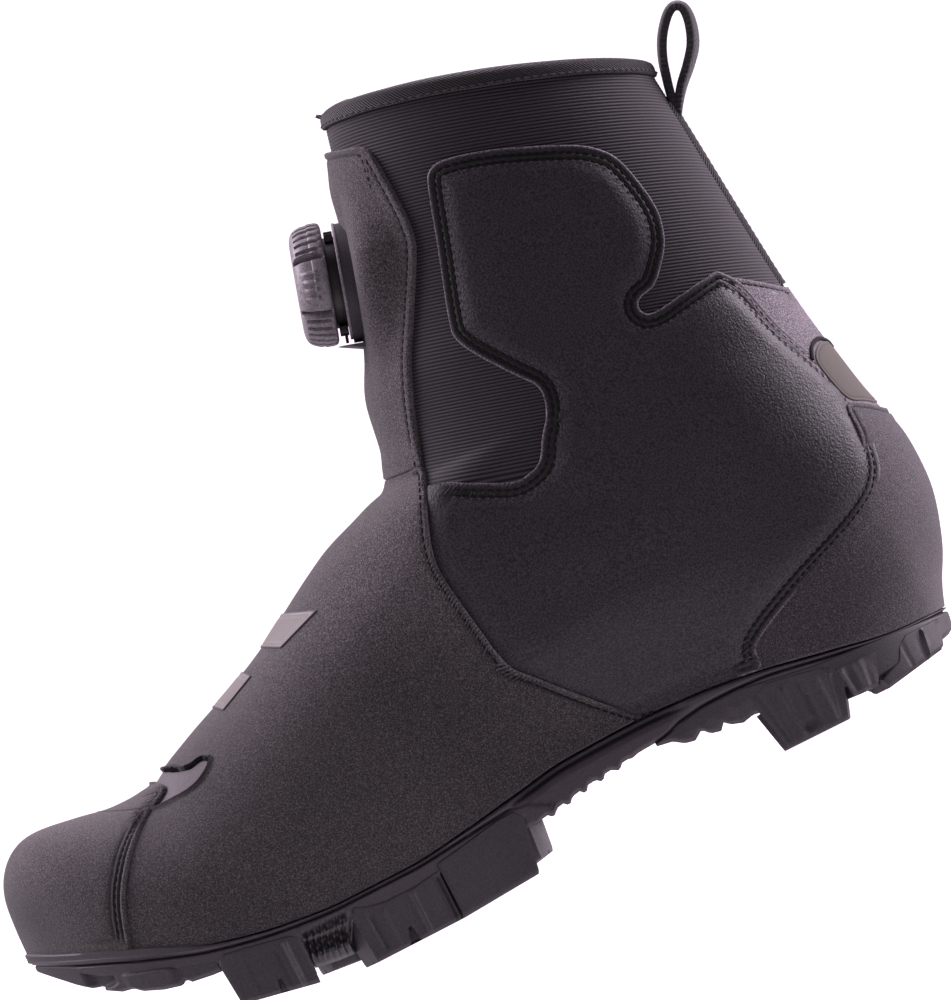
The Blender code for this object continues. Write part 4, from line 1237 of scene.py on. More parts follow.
SLOT_EDGE = (
    # x, z, the vamp's front edge around the slot behind the toe cap
    (96.0, 69.2), (90.9, 69.5), (86.0, 69.7), (81.9, 70.7), (78.4, 72.6), (76.7, 74.2),
    (77.0, 75.4), (78.8, 75.8), (81.8, 75.2), (85.4, 75.9), (88.4, 77.4),
)
WINDOWS = (
    # name, x and z of the corners on the medial side, from the ridge and back to it
    ("window_1", ((36.6, 102.8), (27.0, 99.2), (42.0, 94.0), (47.0, 96.6))),
    ("window_2", ((56.0, 93.8), (53.4, 90.6), (65.6, 85.2), (69.0, 88.4))),
)
HEEL_PATCH = (
    # x, z, on the medial side from the back's middle and back to it
    (-148.6, 76.6), (-143.6, 80.6), (-139.0, 83.8), (-136.6, 91.0), (-135.6, 98.6),
    (-138.6, 102.4), (-142.0, 101.4),
)


def inside_slot(places, opening):
    """True for places on the skin that lie in the slot's opening, seen along the floor."""
    mids = place(opening[:, 0], opening[:, 1])
    medial = mids[:, 1] >= centre_y(mids[:, 0]) - 1e-4
    ring = mids[medial][:, [0, 2]]
    flat = places[:, [0, 2]]
    return inside_of(flat, ring) & (places[:, 0] > 0.0)


def slot_loop():
    """Closed loop of the opening between the vamp and the toe cap."""
    up = resampled(chart(spline(SLOT_EDGE, 8)), 0.8 * MM)
    down = mirrored(up)
    over = np.array([up[-1] + (down[0] - up[-1]) * s for s in np.linspace(0, 1, 16)[1:-1]])
    foot = np.array([down[-1] + (up[0] - down[-1]) * s for s in np.linspace(0, 1, 40)[1:-1]])
    return np.vstack((up, over, down, foot)), up


def ridge_patch(corners):
    """A loop across the ridge with the same corners on both sides."""
    medial = []
    for a, b in zip(corners, corners[1:]):
        medial += [tuple(np.array(a) + (np.array(b) - np.array(a)) * s) for s in np.linspace(0, 1, 9)[:-1]]
    medial = chart(medial + [corners[-1]])
    medial = medial[medial[:, 0] < math.pi - 0.02]
    loop = np.vstack((medial, mirrored(medial)))
    return loop if turning(loop) > 0 else loop[::-1]


def heel_patch_loop(points, per_span=6):
    """A loop across the back of the heel, the same on both sides."""
    medial = chart(spline(points, per_span))
    medial = medial[medial[:, 0] > 0.02]
    lateral = np.stack((-medial[::-1, 0], medial[::-1, 1]), axis=-1)
    loop = np.vstack((medial, lateral))
    return loop if turning(loop) > 0 else loop[::-1]


def make_toe_cap(sizes):
    """Grained toe cap with a rolled rear edge, three stitch grooves and stitches along the first two."""
    top, under, radius = 2.00, 0.40, 0.75
    loop = wrap_loop(TOE_SEAM)
    edge = rolled_edge(top, radius)
    rows = (1.8, 3.3, 4.7)

    def height(gap, places):
        lines = sum(groove(gap, row, 0.42, 0.50) for row in rows)
        return edge(gap, places) + (lines + 0.40 * line_at(gap, 0.8, 0.7)) * at_seam(places)

    def at_seam(places):
        x, z = places[:, 0] / MM, places[:, 2] / MM
        low = feather_z(places[:, 0]) / MM
        return step(low + 3.0, low + 6.0, z) * step(134.0, 126.0, x)

    # Painted light: painted shade towards the bottom and on the low front of the toe, a painted highlight
    # beside the rolled edge, and painted shade in the three stitch grooves.
    def tone(gap, places):
        lines = sum(line_at(gap, row, 0.45) for row in rows)
        x, z = places[:, 0] / MM, places[:, 2] / MM
        low = 1.0 - 0.46 * step(76.0, 56.0, z) - 0.30 * step(134.0, 144.0, x) * step(74.0, 60.0, z)
        return low + (0.50 * line_at(gap, 0.8, 0.6) - 0.60 * lines) * at_seam(places)

    loop = loop if turning(loop) > 0 else loop[::-1]
    obj = panel("toe_cap", loop, height, under, spacing=1.9, tone=tone)
    settle(obj, "rubberised_fabric", FINISHES["grained"], "toe_cap", angle=50)
    up = resampled(chart(spline(TOE_SEAM, 8)), 1.0 * MM)
    chains = []
    for row in rows[:2]:
        chain = beside(up, row * MM, closed=False)
        chains += [(chain[6:], 1.66 * MM), (mirrored(chain[6:]), 1.66 * MM)]
    stitches(
        "toe_cap_stitches", chains, sizes.stitch_long, sizes.stitch_pitch, sizes.thread,
        FINISHES["dark_thread"],
    )


def make_slot_and_windows(sizes):
    """The cloth in the slot behind the toe cap, and two plain reflective bars on the instep."""
    loop, _ = slot_loop()
    loop = loop if turning(loop) > 0 else loop[::-1]
    obj = panel("slot_cloth", loop, rolled_edge(0.75, 0.3), -0.1, spacing=1.6)
    settle(obj, "nylon", FINISHES["slot_cloth"])
    for name, corners in WINDOWS:
        loop = ridge_patch(corners)

        def height(gap, places):
            frame_line = groove(gap, 1.3, 0.25, 0.16) + groove(gap, 2.1, 0.20, 0.10)
            return 1.80 - 0.35 * (1 - np.clip(gap / 0.35, 0, 1)) ** 2 + frame_line

        # Painted light: a painted shadow in the gap around the bar's edge, and painted highlights and shade
        # on the ridges and grooves of its frame.
        def tone(gap, places):
            lines = 0.45 * line_at(gap, 1.0, 0.28) + 0.45 * line_at(gap, 1.9, 0.26)
            return 1.0 - 0.88 * line_at(gap, 0.0, 0.45) - 0.35 * line_at(gap, 1.45, 0.24) + lines

        obj = panel(name, loop, height, 1.0, spacing=1.2, edge_spacing=0.7, tone=tone)
        settle(obj, "rubberised_fabric", FINISHES["reflective"])


def make_heel(sizes):
    """Grained counter and back panel, with the reflective patch between them."""
    top, under = 2.00, -0.20
    front = chart(spline(COUNTER_FRONT, 8))
    front = front[front[:, 0] > 0.02]
    loop_up = resampled(front, 1.0 * MM)
    loop = np.vstack((loop_up, np.stack((-loop_up[::-1, 0], loop_up[::-1, 1]), axis=-1)))
    foot = np.array([loop[-1] + (loop[0] - loop[-1]) * s for s in np.linspace(0, 1, 120)[1:-1]])
    loop = np.vstack((loop, foot))
    loop = loop if turning(loop) > 0 else loop[::-1]

    def counter_height(gap, places):
        x, z = places[:, 0] / MM, places[:, 2] / MM
        limit = np.interp(z, [24.0, 33.0, 43.5, 53.5, 61.0, 72.0, 86.0],
                          [-77.0, -80.0, -99.0, -124.0, -133.5, -136.6, -137.0])
        behind = step(-1.0, 16.0, limit - x)
        full = 0.55 + (top - 0.55) * np.maximum(behind, step(66.0, 74.0, z))
        full -= 1.3 * step(54.0, 34.0, z) * step(-130.0, -141.0, x)
        radius = 0.45
        share = np.clip(gap / radius, 0.0, 1.0)
        seam = groove(gap, 1.8, 0.35, 0.45) * step(64.0, 72.0, z)
        return full - radius * (1.0 - np.sqrt(share * (2.0 - share))) + seam

    # Painted light: a painted highlight along the edge, and painted shade in the stitch groove and towards
    # the bottom.
    def counter_tone(gap, places):
        z = places[:, 2] / MM
        seam = 0.5 * line_at(gap, 0.2, 0.4) - 0.6 * line_at(gap, 1.8, 0.5) * step(64.0, 72.0, z)
        return 1.0 - 0.38 * step(58.0, 34.0, z) + seam

    obj = panel("heel_counter", loop, counter_height, under, spacing=1.9, tone=counter_tone)
    settle(obj, "rubberised_fabric", FINISHES["heel_grained"], "heel_counter", angle=50)

    loop = heel_patch_loop(BACK_PANEL_EDGE, 8)

    def back_height(gap, places):
        z = places[:, 2] / MM
        seam = groove(gap, 1.7, 0.35, 0.40) * step(112.0, 119.0, z)
        return rolled_edge(0.95, 0.45)(gap, places) + seam

    # Painted light: the whole panel is painted lighter as a highlight from the heel light, with a painted
    # highlight along its edge and painted shade in its stitch groove.
    def back_tone(gap, places):
        return 2.7 + 0.4 * line_at(gap, 0.1, 0.4) - 1.7 * line_at(gap, 1.7, 0.5)

    obj = panel("back_panel", loop, back_height, under, spacing=1.9, tone=back_tone)
    settle(obj, "rubberised_fabric", FINISHES["heel_grained"], angle=50)

    loop = heel_patch_loop(HEEL_PATCH, 8)

    def patch_height(gap, places):
        return 1.35 - 0.3 * (1 - np.clip(gap / 0.35, 0, 1)) ** 2 + groove(gap, 1.0, 0.22, 0.14)

    # Painted light: a painted highlight and a painted shade line beside the groove along the patch's edge.
    def patch_tone(gap, places):
        return 1.0 + 0.35 * line_at(gap, 0.6, 0.3) - 0.40 * line_at(gap, 1.1, 0.3)

    obj = panel("heel_patch", loop, patch_height, 0.4, spacing=1.3, edge_spacing=0.8, tone=patch_tone)
    settle(obj, "rubberised_fabric", FINISHES["shaded_heel_film"])

    arch = chart(spline(((-134.6, 99.0), (-136.2, 102.6), (-139.4, 103.6), (-142.6, 99.4)), 6))
    arch = resampled(arch, 0.8 * MM)
    both = np.vstack((arch, np.stack((-arch[::-1, 0], arch[::-1, 1]), axis=-1)))
    tube("heel_patch_binding", both[np.r_[True, np.linalg.norm(np.diff(both, axis=0), axis=1) > 1e-5]],
         1.25, 1.3, 0.9, FINISHES["dark_thread"])

    chains = []
    row = resampled(chart(spline(((-122.6, 131.0), (-130.0, 126.2), (-139.2, 118.4)), 8)), 1.0 * MM)
    low = resampled(chart(spline(((-136.0, 79.6), (-141.0, 78.6), (-148.6, 71.8)), 8)), 1.0 * MM)
    for chain, out in ((row, 0.62), (low, 1.62)):
        chains.append((chain, out * MM))
        chains.append((np.stack((-chain[:, 0], chain[:, 1]), axis=-1), out * MM))
    stitches(
        "heel_stitches", chains, sizes.stitch_long, sizes.stitch_pitch, sizes.thread,
        FINISHES["dark_thread"],
    )


def tube(name, chain, out, wide, tall, finish, slot="webbing", sides=8):
    """A narrow rounded band that lies along a chain of the chart."""
    a, v = chain[:, 0], chain[:, 1]
    middle = skin(a, v, out * MM)
    ahead = unit(np.gradient(middle, axis=0))
    around, upward = tangents(a, v)
    normal = unit(np.cross(upward, around))
    across = unit(np.cross(normal, ahead))
    rings = []
    for m, n, c in zip(middle, normal, across):
        rings.append([
            m + c * math.cos(2 * math.pi * k / sides) * wide * MM / 2
            + n * math.sin(2 * math.pi * k / sides) * tall * MM / 2
            for k in range(sides)
        ])
    obj = lofted(name, rings)
    return settle(obj, slot, finish)


def dial_platform(places):
    """How far the flap rises over the skin to carry the dial, and the share of it, in mm."""
    middle, axis, _, _ = dial_axes()
    away = middle - places
    along = away @ axis
    radial = np.linalg.norm(away - along[:, None] * axis, axis=1) / MM
    facing = np.sqrt(np.maximum(0.2, 1.0 - (places[:, 1] / (SHAFT_WIDTH / 2)) ** 2))
    return (along / MM - PLATFORM_DROP) / facing, step(36.0, 18.0, radial)


def make_flap(sizes):
    """Grained front flap with a narrow raised edge band and a row of stitches."""
    top, under, radius = 2.30, 0.20, 0.70
    loop = wrap_loop(FLAP_SEAM)
    edge = rolled_edge(top, radius)

    def height(gap, places):
        z = places[:, 2] / MM
        at_seam = step(127.0, 132.0, z)
        band = -0.35 * step(1.9, 2.7, gap) * step(14.0, 5.0, gap) * at_seam
        row = groove(gap, 2.2, 0.42, 0.55) * at_seam
        low_edge = -0.55 * step(130.0, 123.5, z)
        lift = edge(gap, places) + band + row + low_edge
        rise, share = dial_platform(places)
        return lift + np.maximum(0.0, rise - lift) * share * step(2.5, 16.0, gap)

    # Painted light: a painted highlight along the edge and painted shade in the stitch groove.
    def tone(gap, places):
        at_seam = step(127.0, 132.0, places[:, 2] / MM)
        return 1.0 + 0.6 * line_at(gap, 0.1, 0.4) - 0.55 * line_at(gap, 2.2, 0.5) * at_seam

    loop = loop if turning(loop) > 0 else loop[::-1]
    obj = panel("front_flap", loop, height, under, spacing=1.9, tone=tone)
    settle(obj, "rubberised_fabric", FINISHES["grained"], "front_flap", angle=50)
    up = resampled(chart(spline(FLAP_SEAM, 8)), 1.0 * MM)
    row = beside(up, 2.2 * MM, closed=False)
    chains = [(row, 1.74 * MM), (mirrored(row), 1.74 * MM)]
    stitches(
        "flap_stitches", chains, sizes.stitch_long, sizes.stitch_pitch, sizes.thread,
        FINISHES["dark_thread"],
    )
    return obj


# The stitch line's distance below the rim in millimetres, and its stitches' pitch.
BINDING_ROW = 3.20
BINDING_PITCH = 0.0027


def make_binding(sizes):
    """Twill tape folded over the collar's edge, with its stitch line."""
    section = (
        # along the wall down from the rim, out over the skin
        (5.20, 0.25), (5.35, 0.85), (4.90, 1.25), (3.60, 1.40), (2.40, 1.65), (1.20, 1.70),
        (0.30, 1.55), (-0.45, 1.00), (-0.95, 0.10), (-1.10, -1.20), (-1.05, -2.50),
        (-0.60, -3.60), (0.20, -4.20), (1.60, -4.35), (3.40, -4.20), (4.90, -3.95),
        (5.20, -3.20), (3.00, -3.05), (0.60, -3.00), (0.40, -1.50), (0.60, 0.10), (3.00, 0.15),
    )
    section = np.array(section)
    count = len(section)
    around_count = 220

    def shape(u, v):
        angle = 2 * math.pi * (1 - u)
        spot = v * count
        low = np.floor(spot).astype(int) % count
        share = spot - np.floor(spot)
        after = (low + 1) % count
        down = section[low, 0] + (section[after, 0] - section[low, 0]) * share
        out = section[low, 1] + (section[after, 1] - section[low, 1]) * share
        wave = 0.12 * np.sin(angle * 9.0) * np.sin(angle * 4.0 + 1.0)
        down = np.where(down > 0.0, 0.80 * down, down) + np.where(down > 4.0, wave, 0.0)
        rim = 1.0 - np.maximum(0.0, down) / 128.0
        places = rib_skin(angle, rim, out * MM)
        places[:, 2] += np.maximum(0.0, -down) * MM + 0.0002
        return places

    obj = laid_grid("collar_binding", around_count, count * 2, shape, ring=True)
    outward(obj)
    settle(obj, "webbing", FINISHES["binding"], "collar_binding", angle=70)

    angles = np.linspace(0.0, 2 * math.pi, 1600)
    line = rib_skin(angles, np.full(1600, 1.0 - BINDING_ROW / 128.0), 1.36 * MM)
    run = run_of(line)
    starts = np.arange(0.0, run[-1], BINDING_PITCH)
    spots = np.stack([np.interp(starts, run, line[:, n]) for n in range(3)], axis=-1)
    ahead = np.stack([np.interp(starts + 0.0004, run, line[:, n]) for n in range(3)], axis=-1)
    ahead = unit(ahead - spots)
    centre = line.mean(axis=0)
    normal = unit((spots - centre) * (1, 1, 0))
    across = unit(np.cross(normal, ahead))
    normal = unit(np.cross(ahead, across))
    stitch_mesh(
        "binding_stitches", zip(spots, ahead, normal, across), sizes.stitch_long,
        sizes.thread, FINISHES["pale_thread"],
    )


STRAP_FOOT = 0.1230
STRAP_TOP = 0.1860
STRAP_HALF = 0.0070
LOOP_HEIGHT = 0.0240
LOOP_WIDTH = 0.0120
WEBBING = 0.0016
LOOP_THICK = 0.0024
LOOP_TWIST = math.radians(11.0)
PULL_LOOP = (
    # back, up, as shares of LOOP_HEIGHT
    (-0.130, -0.250), (-0.040, -0.060), (0.030, 0.220), (0.110, 0.500), (0.230, 0.740), (0.400, 0.940),
    (0.530, 1.000), (0.620, 0.920), (0.610, 0.720), (0.520, 0.480), (0.360, 0.280),
    (0.170, 0.090), (0.030, -0.090), (-0.075, -0.260),
)


def band_along(name, line, sides, halves, thick, finish, *nodes):
    """Webbing along a line: across direction at each point, with rounded selvedges."""
    count = len(line)
    ahead = unit(np.gradient(line, axis=0))
    normal = unit(np.cross(sides, ahead))
    section = (
        # across, out
        (-1.00, 0.00), (-0.97, 0.38), (-0.88, 0.50), (0.88, 0.50), (0.97, 0.38), (1.00, 0.00),
        (0.97, -0.38), (0.88, -0.50), (-0.88, -0.50), (-0.97, -0.38),
    )
    size = len(section)

    def shape(u, v):
        k = np.clip(np.round(v * (count - 1)).astype(int), 0, count - 1)
        spot = u * size
        low = np.floor(spot + 1e-6).astype(int) % size
        across = np.array([row[0] for row in section])[low]
        out = np.array([row[1] for row in section])[low]
        return (line[k] + sides[k] * (across * halves[k])[:, None]
                + normal[k] * (out * thick)[:, None])

    obj = laid_grid(name, size, count - 1, shape, ring=True)
    only(obj)
    bpy.ops.object.mode_set(mode="EDIT")
    bpy.ops.mesh.select_mode(type="EDGE")
    bpy.ops.mesh.select_all(action="DESELECT")
    bpy.ops.mesh.select_non_manifold()
    bpy.ops.mesh.edge_face_add()
    bpy.ops.object.mode_set(mode="OBJECT")
    outward(obj)
    return settle(obj, "webbing", finish, *nodes)


def make_webbing(sizes):
    """The strap down the back seam and the pull loop at its top."""
    bowed = laid_strap()
    settle(bowed, "webbing", FINISHES["webbing"], "back_strap")

    foot_z = STRAP_TOP + 0.4 * WEBBING
    foot_x = float(back_x(foot_z)) - 0.0008 - 0.5 * WEBBING
    path = np.array(spline([(foot_x - b * LOOP_HEIGHT, foot_z + u * LOOP_HEIGHT) for b, u in PULL_LOOP], 14))
    count = len(path)
    line = np.stack((path[:, 0], np.zeros(count), path[:, 1]), axis=-1)
    ahead = unit(np.gradient(line, axis=0))
    share = np.linspace(0.0, 1.0, count)
    twist = LOOP_TWIST * np.sin(math.pi * share) * (0.35 + 0.65 * step(0.45, 0.75, share))
    across = np.cross(ahead, (0.0, 1.0, 0.0))
    side = across * np.sin(twist)[:, None] + np.array((0.0, 1.0, 0.0)) * np.cos(twist)[:, None]
    halves = LOOP_WIDTH / 2 + 0.00022 * np.sin(run_of(line) / 0.0015 * 2 * math.pi)
    band_along("pull_loop", line, side, halves, LOOP_THICK, FINISHES["webbing"], "pull_loop")


def laid_strap():
    """The strap, bowed over the back seam and flat on the ribbed fabric."""
    def shape(u, v):
        z = STRAP_FOOT + (STRAP_TOP - STRAP_FOOT) * v
        across = (u - 0.5) * 2
        y = across * STRAP_HALF
        half = y / (0.5 * HEEL_WIDTH)
        deep = HEEL_ROUND * LENGTH * (1 - np.sqrt(1 - half ** 2))
        edge = 1.0 - np.abs(across) ** 12
        weave = 0.00008 * np.sin(v * 60 * math.pi)
        return np.stack((back_x(z) + deep - 0.0002 - 0.0009 * edge - weave * edge, y, z), axis=-1)

    obj = laid_grid("back_strap", 20, 120, shape)
    if obj.data.polygons[0].normal.x > 0:
        only(obj)
        bpy.ops.object.mode_set(mode="EDIT")
        bpy.ops.mesh.select_all(action="SELECT")
        bpy.ops.mesh.flip_normals()
        bpy.ops.object.mode_set(mode="OBJECT")
    thicken(obj, 0.0008)
    return obj


# Sole

INSOLE_THICK = 0.0040
CLEAT_LONG = 0.0380
CLEAT_WIDE = 0.0300
CLEAT_FRONT = 0.697
CLEAT_LEVEL = 0.0090
SLOT_LONG = 0.0200
SLOT_WIDE = 0.0055
SLOT_DEEP = 0.0020
SLOT_SPACING = 0.0150

# How far the plate's lip rises over the feather line around the toe.
TOE_GUARD = 0.0023
# Depth of the groove under the plate's lip, below the feather line.
LIP_GROOVE = (
    # x, depth in millimetres
    (-136.0, 1.5), (-118.0, 1.7), (-95.0, 1.9), (-80.0, 2.2), (-70.0, 3.1), (-60.0, 4.2),
    (-52.0, 5.8), (-46.0, 8.0), (-38.0, 9.5), (-20.0, 9.5), (-4.0, 6.0), (4.0, 2.9),
    (14.0, 2.1), (30.0, 1.6), (60.0, 1.5), (85.0, 1.9), (105.0, 2.4), (152.0, 2.7),
)
TOE_TREAD_TOP = (
    (100.0, 22.4), (112.0, 26.2), (122.0, 30.0), (130.0, 34.0), (135.0, 38.0),
    (140.0, 40.9), (147.0, 44.6), (152.0, 46.4),
)
TOE_TREAD_FOOT = (
    (100.0, 18.6), (104.0, 18.9), (110.5, 19.9), (111.5, 21.4), (113.0, 20.2), (118.4, 21.6),
    (124.0, 24.0), (126.0, 25.8), (130.0, 26.6), (135.0, 29.6), (140.0, 33.4), (145.0, 38.4),
    (149.0, 42.4), (152.0, 44.2),
)
HEEL_TREAD_TOP = (
    (-137.0, 15.2), (-118.0, 17.2), (-95.0, 19.4), (-82.0, 21.6), (-72.0, 23.3),
    (-60.0, 23.3), (-52.0, 22.0), (-46.0, 20.6), (-42.0, 19.6),
)
HEEL_TREAD_FOOT = (
    (-137.0, 9.0), (-130.0, 8.0), (-118.0, 6.8), (-106.0, 6.8), (-99.0, 9.4), (-75.0, 13.7),
    (-72.0, 14.2), (-68.5, 13.4), (-64.6, 14.8), (-63.6, 16.4), (-61.5, 14.2), (-58.5, 15.0),
    (-56.6, 17.2), (-53.5, 15.2), (-50.5, 15.9), (-47.5, 18.0), (-42.0, 19.0),
)
# Forefoot and heel lugs. An empty outline follows the plate's edge with cut corners.
LUGS = (
    # name, side, front, back, foot at front and back, depth, reach of the top at front and
    # back, outline of the top
    ("lug_forefoot_medial_1", 1, 99.9, 76.8, 7.25, 2.6, 25.0, 1.0, 0.4,
     ((76.2, 17.0), (79.0, 19.3), (90.0, 21.6), (98.5, 23.2), (101.2, 21.0))),
    ("lug_forefoot_medial_2", 1, 59.3, 31.9, 0.0, 0.0, 21.0, 1.0, 0.2,
     ((31.5, 16.2), (40.0, 15.2), (49.5, 15.3), (54.5, 16.2), (58.5, 18.0), (60.4, 15.6))),
    ("lug_forefoot_medial_3", 1, 31.0, 5.4, 0.0, 1.45, 20.0, 0.1, 3.6,
     ((1.0, 18.0), (4.0, 21.6), (10.0, 21.4), (20.0, 19.8), (31.1, 18.2))),
    ("lug_forefoot_lateral_1", -1, 100.2, 81.9, 8.7, 4.1, 25.0, 1.0, 0.4, ()),
    ("lug_forefoot_lateral_2", -1, 75.9, 51.8, 3.2, 0.6, 22.0, 0.8, 0.6, ()),
    ("lug_forefoot_lateral_3", -1, 46.7, 19.6, 0.0, 0.0, 21.0, 0.8, 0.6, ()),
    ("lug_forefoot_lateral_4", -1, 15.0, -1.2, 1.74, 4.9, 20.0, 0.4, 2.0, ()),
    ("lug_heel_medial_1", 1, -77.2, -96.6, 0.4, 0.2, 26.0, 3.6, 4.8,
     ((-102.4, 12.0), (-100.7, 14.8), (-96.7, 17.9), (-88.0, 19.8), (-79.7, 21.3),
      (-75.9, 19.6), (-73.4, 17.0))),
    ("lug_heel_lateral_1", -1, -77.2, -96.6, 0.0, 0.0, 26.0, 3.6, 4.8,
     ((-102.4, 12.0), (-100.7, 14.8), (-96.7, 17.9), (-88.0, 19.8), (-79.7, 21.3),
      (-75.9, 19.6), (-73.4, 17.0))),
    ("lug_heel_medial_2", 1, -101.0, -108.6, 5.4, 5.0, 20.0, 1.6, 4.0,
     ((-113.0, 14.8), (-106.0, 15.4), (-99.0, 15.8))),
    ("lug_heel_lateral_2", -1, -101.0, -108.6, 5.4, 5.0, 20.0, 1.6, 4.0,
     ((-113.0, 14.8), (-106.0, 15.4), (-99.0, 15.8))),
    ("lug_heel_medial_3", 1, -111.2, -129.8, 2.9, 5.9, 13.0, 1.4, 4.6,
     ((-134.6, 14.9), (-121.7, 15.2), (-118.7, 13.0), (-116.7, 9.2), (-109.8, 6.4))),
    ("lug_heel_lateral_3", -1, -111.2, -129.8, 2.9, 5.9, 13.0, 1.4, 4.6,
     ((-134.6, 14.9), (-121.7, 15.2), (-118.7, 13.0), (-116.7, 9.2), (-109.8, 6.4))),
)
# Ribs, slits, notches and patches moulded into the lugs' outer walls.
LUG_RELIEF = {
    "lug_forefoot_medial_1": (
        # kind, x, lowest and highest height, width, depth
        ("rib", 81.4, 3.5, 18.0, 2.0, 0.75), ("slit", 84.4, 3.0, 17.0, 1.6, 0.30),
        ("notch", 87.3, 5.0, 9.6, 2.4, 1.30), ("slit", 93.0, 9.0, 18.5, 1.2, 0.25),
    ),
    "lug_forefoot_medial_2": (
        ("slit", 55.0, 2.5, 13.5, 2.2, 0.55), ("rib", 41.6, 0.8, 14.0, 1.6, 0.55),
        ("notch", 46.6, 0.0, 5.6, 3.6, 1.60), ("slit", 32.9, 0.4, 15.0, 2.2, 1.20),
        ("rib", 51.2, 1.0, 13.0, 1.6, 0.22),
    ),
    "lug_heel_medial_1": (
        ("rib", -83.7, 2.0, 17.5, 1.5, 0.85), ("rib", -94.2, 2.0, 15.5, 1.6, 0.95),
        ("slit", -88.6, 3.0, 17.0, 2.6, 0.55), ("slit", -79.0, 1.0, 19.0, 1.2, 0.35),
        ("patch", -86.2, 2.4, 5.6, 4.0, 0.60), ("slit", -98.0, 4.0, 14.0, 1.2, 0.30),
    ),
    "lug_heel_medial_2": (
        ("rib", -101.6, 5.0, 14.6, 2.2, 0.9), ("rib", -105.4, 5.0, 14.4, 2.2, 0.9),
        ("rib", -109.6, 6.0, 13.6, 2.4, 0.9),
    ),
    "lug_heel_medial_3": (
        ("spear", -124.6, 4.2, 14.2, 2.8, 1.10), ("slit", -119.6, 3.6, 13.0, 1.6, 0.35),
        ("slit", -129.0, 5.0, 14.0, 1.8, 0.40),
    ),
    "lug_forefoot_lateral_1": (("rib", 86.0, 5.0, 17.0, 2.0, 0.7), ("notch", 92.0, 6.0, 10.5, 2.4, 1.3)),
    "lug_forefoot_lateral_2": (
        ("rib", 57.5, 1.5, 14.0, 1.8, 0.6), ("notch", 64.0, 0.8, 6.6, 3.6, 1.6),
        ("slit", 71.0, 3.0, 14.0, 2.2, 0.5),
    ),
    "lug_forefoot_lateral_3": (
        ("rib", 27.0, 0.8, 14.0, 1.8, 0.6), ("notch", 33.5, 0.0, 5.6, 3.6, 1.6),
        ("slit", 41.5, 2.0, 14.0, 2.2, 0.5),
    ),
    "lug_forefoot_lateral_4": (("slit", 6.0, 4.0, 15.0, 2.0, 0.5),),
}


def table_of(pairs):
    """A polyline through side view points in millimetres, as a function of x in metres."""
    keys, values = np.array(pairs, float).T * MM
    return lambda x: np.interp(x, keys, values)


lip_groove = table_of(LIP_GROOVE)


def laid_block(name, stations):
    """A closed block through rings of as many points, with the first and last one shut."""
    stations = np.asarray(stations, float)
    last, count = stations.shape[0] - 1, stations.shape[1]

    def shape(u, v):
        row = np.rint(u * last).astype(int)
        return stations[row, np.rint(v * count).astype(int) % count]

    obj = laid_grid(name, last, count, shape, ring=True)
    outward(obj)
    return obj


def sole_angles(spacing):
    """Angles from the back to the toe, evenly spaced along the feather line."""
    start = np.stack((np.linspace(0.0, math.pi, 500), np.zeros(500)), axis=-1)
    return resampled(start, spacing)[:, 0]


def sole_axes(angles):
    """Places on the feather line, and the directions out of it and along it in plan."""
    here = place(angles, 0.0)
    ahead = place(angles + 0.01, 0.0) - place(angles - 0.01, 0.0)
    level = np.zeros(len(angles))
    along = unit(np.stack((ahead[:, 0], ahead[:, 1], level), axis=-1))
    return here, np.stack((-along[:, 1], along[:, 0], level), axis=-1), along


def drawn_in(ring, share, z):
    """The ring drawn in to the shoe's centre line, at other heights."""
    middle = centre_y(ring[:, 0])
    return np.stack((ring[:, 0], middle + (ring[:, 1] - middle) * share, z), axis=-1)


def tent(value, half):
    return np.maximum(0.0, 1.0 - np.abs(value) / half)


def recess_at(x):
    """1 along the hollow between the first two lugs on the plate's edge."""
    return step(60.2, 61.6, x / MM) * step(76.8, 75.4, x / MM)


def plate_out(x, low, foot, z):
    """How far the plate stands out of the feather line, in millimetres."""
    drop = (low - z) / MM
    mm = x / MM
    arch = step(8.0, -6.0, mm) * step(-58.0, -46.0, mm)
    groove_at = lip_groove(x) / MM
    lip = step(0.0, 0.35, (drop - 0.3) / groove_at) * step(1.0, 0.62, drop / groove_at)
    out = 1.55 + 0.40 * lip * (1.0 - arch)
    out = out + 1.2 * step(95.0, 118.0, mm) * step(1.8, 0.6, drop)
    shown = np.maximum(step(-2.0, 8.0, mm), step(-40.0, -45.0, mm))
    out = out - shown * 1.3 * np.exp(-((drop - groove_at) / 0.30) ** 2)
    out = out - arch * 3.0 * step(3.3, 1.9, drop) + arch * 0.55 * step(2.6, 5.0, drop)
    under = step(groove_at + 2.6, groove_at + 3.1, drop) * step(-46.0, -50.0, mm)
    under = np.maximum(under, step(6.4, 7.2, drop) * step(1.0, 6.0, mm))
    out = out - 3.0 * under
    out = out - 1.0 * step(-130.0, -143.0, mm)
    out = out - recess_at(x) * 9.0 * step(19.0, 9.0, z / MM)
    edge = 6.0 - 14.0 * np.clip((23.5 - z / MM) / 6.5, 0.0, 1.3) ** 0.8
    out = out + 0.5 * step(-0.5, 0.5, mm - edge) * step(16.0, 8.0, mm) * arch
    ribs = np.sin(2 * math.pi * (mm - 61.0 + (z / MM - 14.0) * 0.16) / 2.1)
    out = out + 0.95 * ribs * step(60.0, 62.0, mm) * step(77.0, 75.0, mm) * step(18.5, 17.0, z / MM)
    return out - 1.4 * step(1.6, 0.0, (z - foot) / MM) ** 2


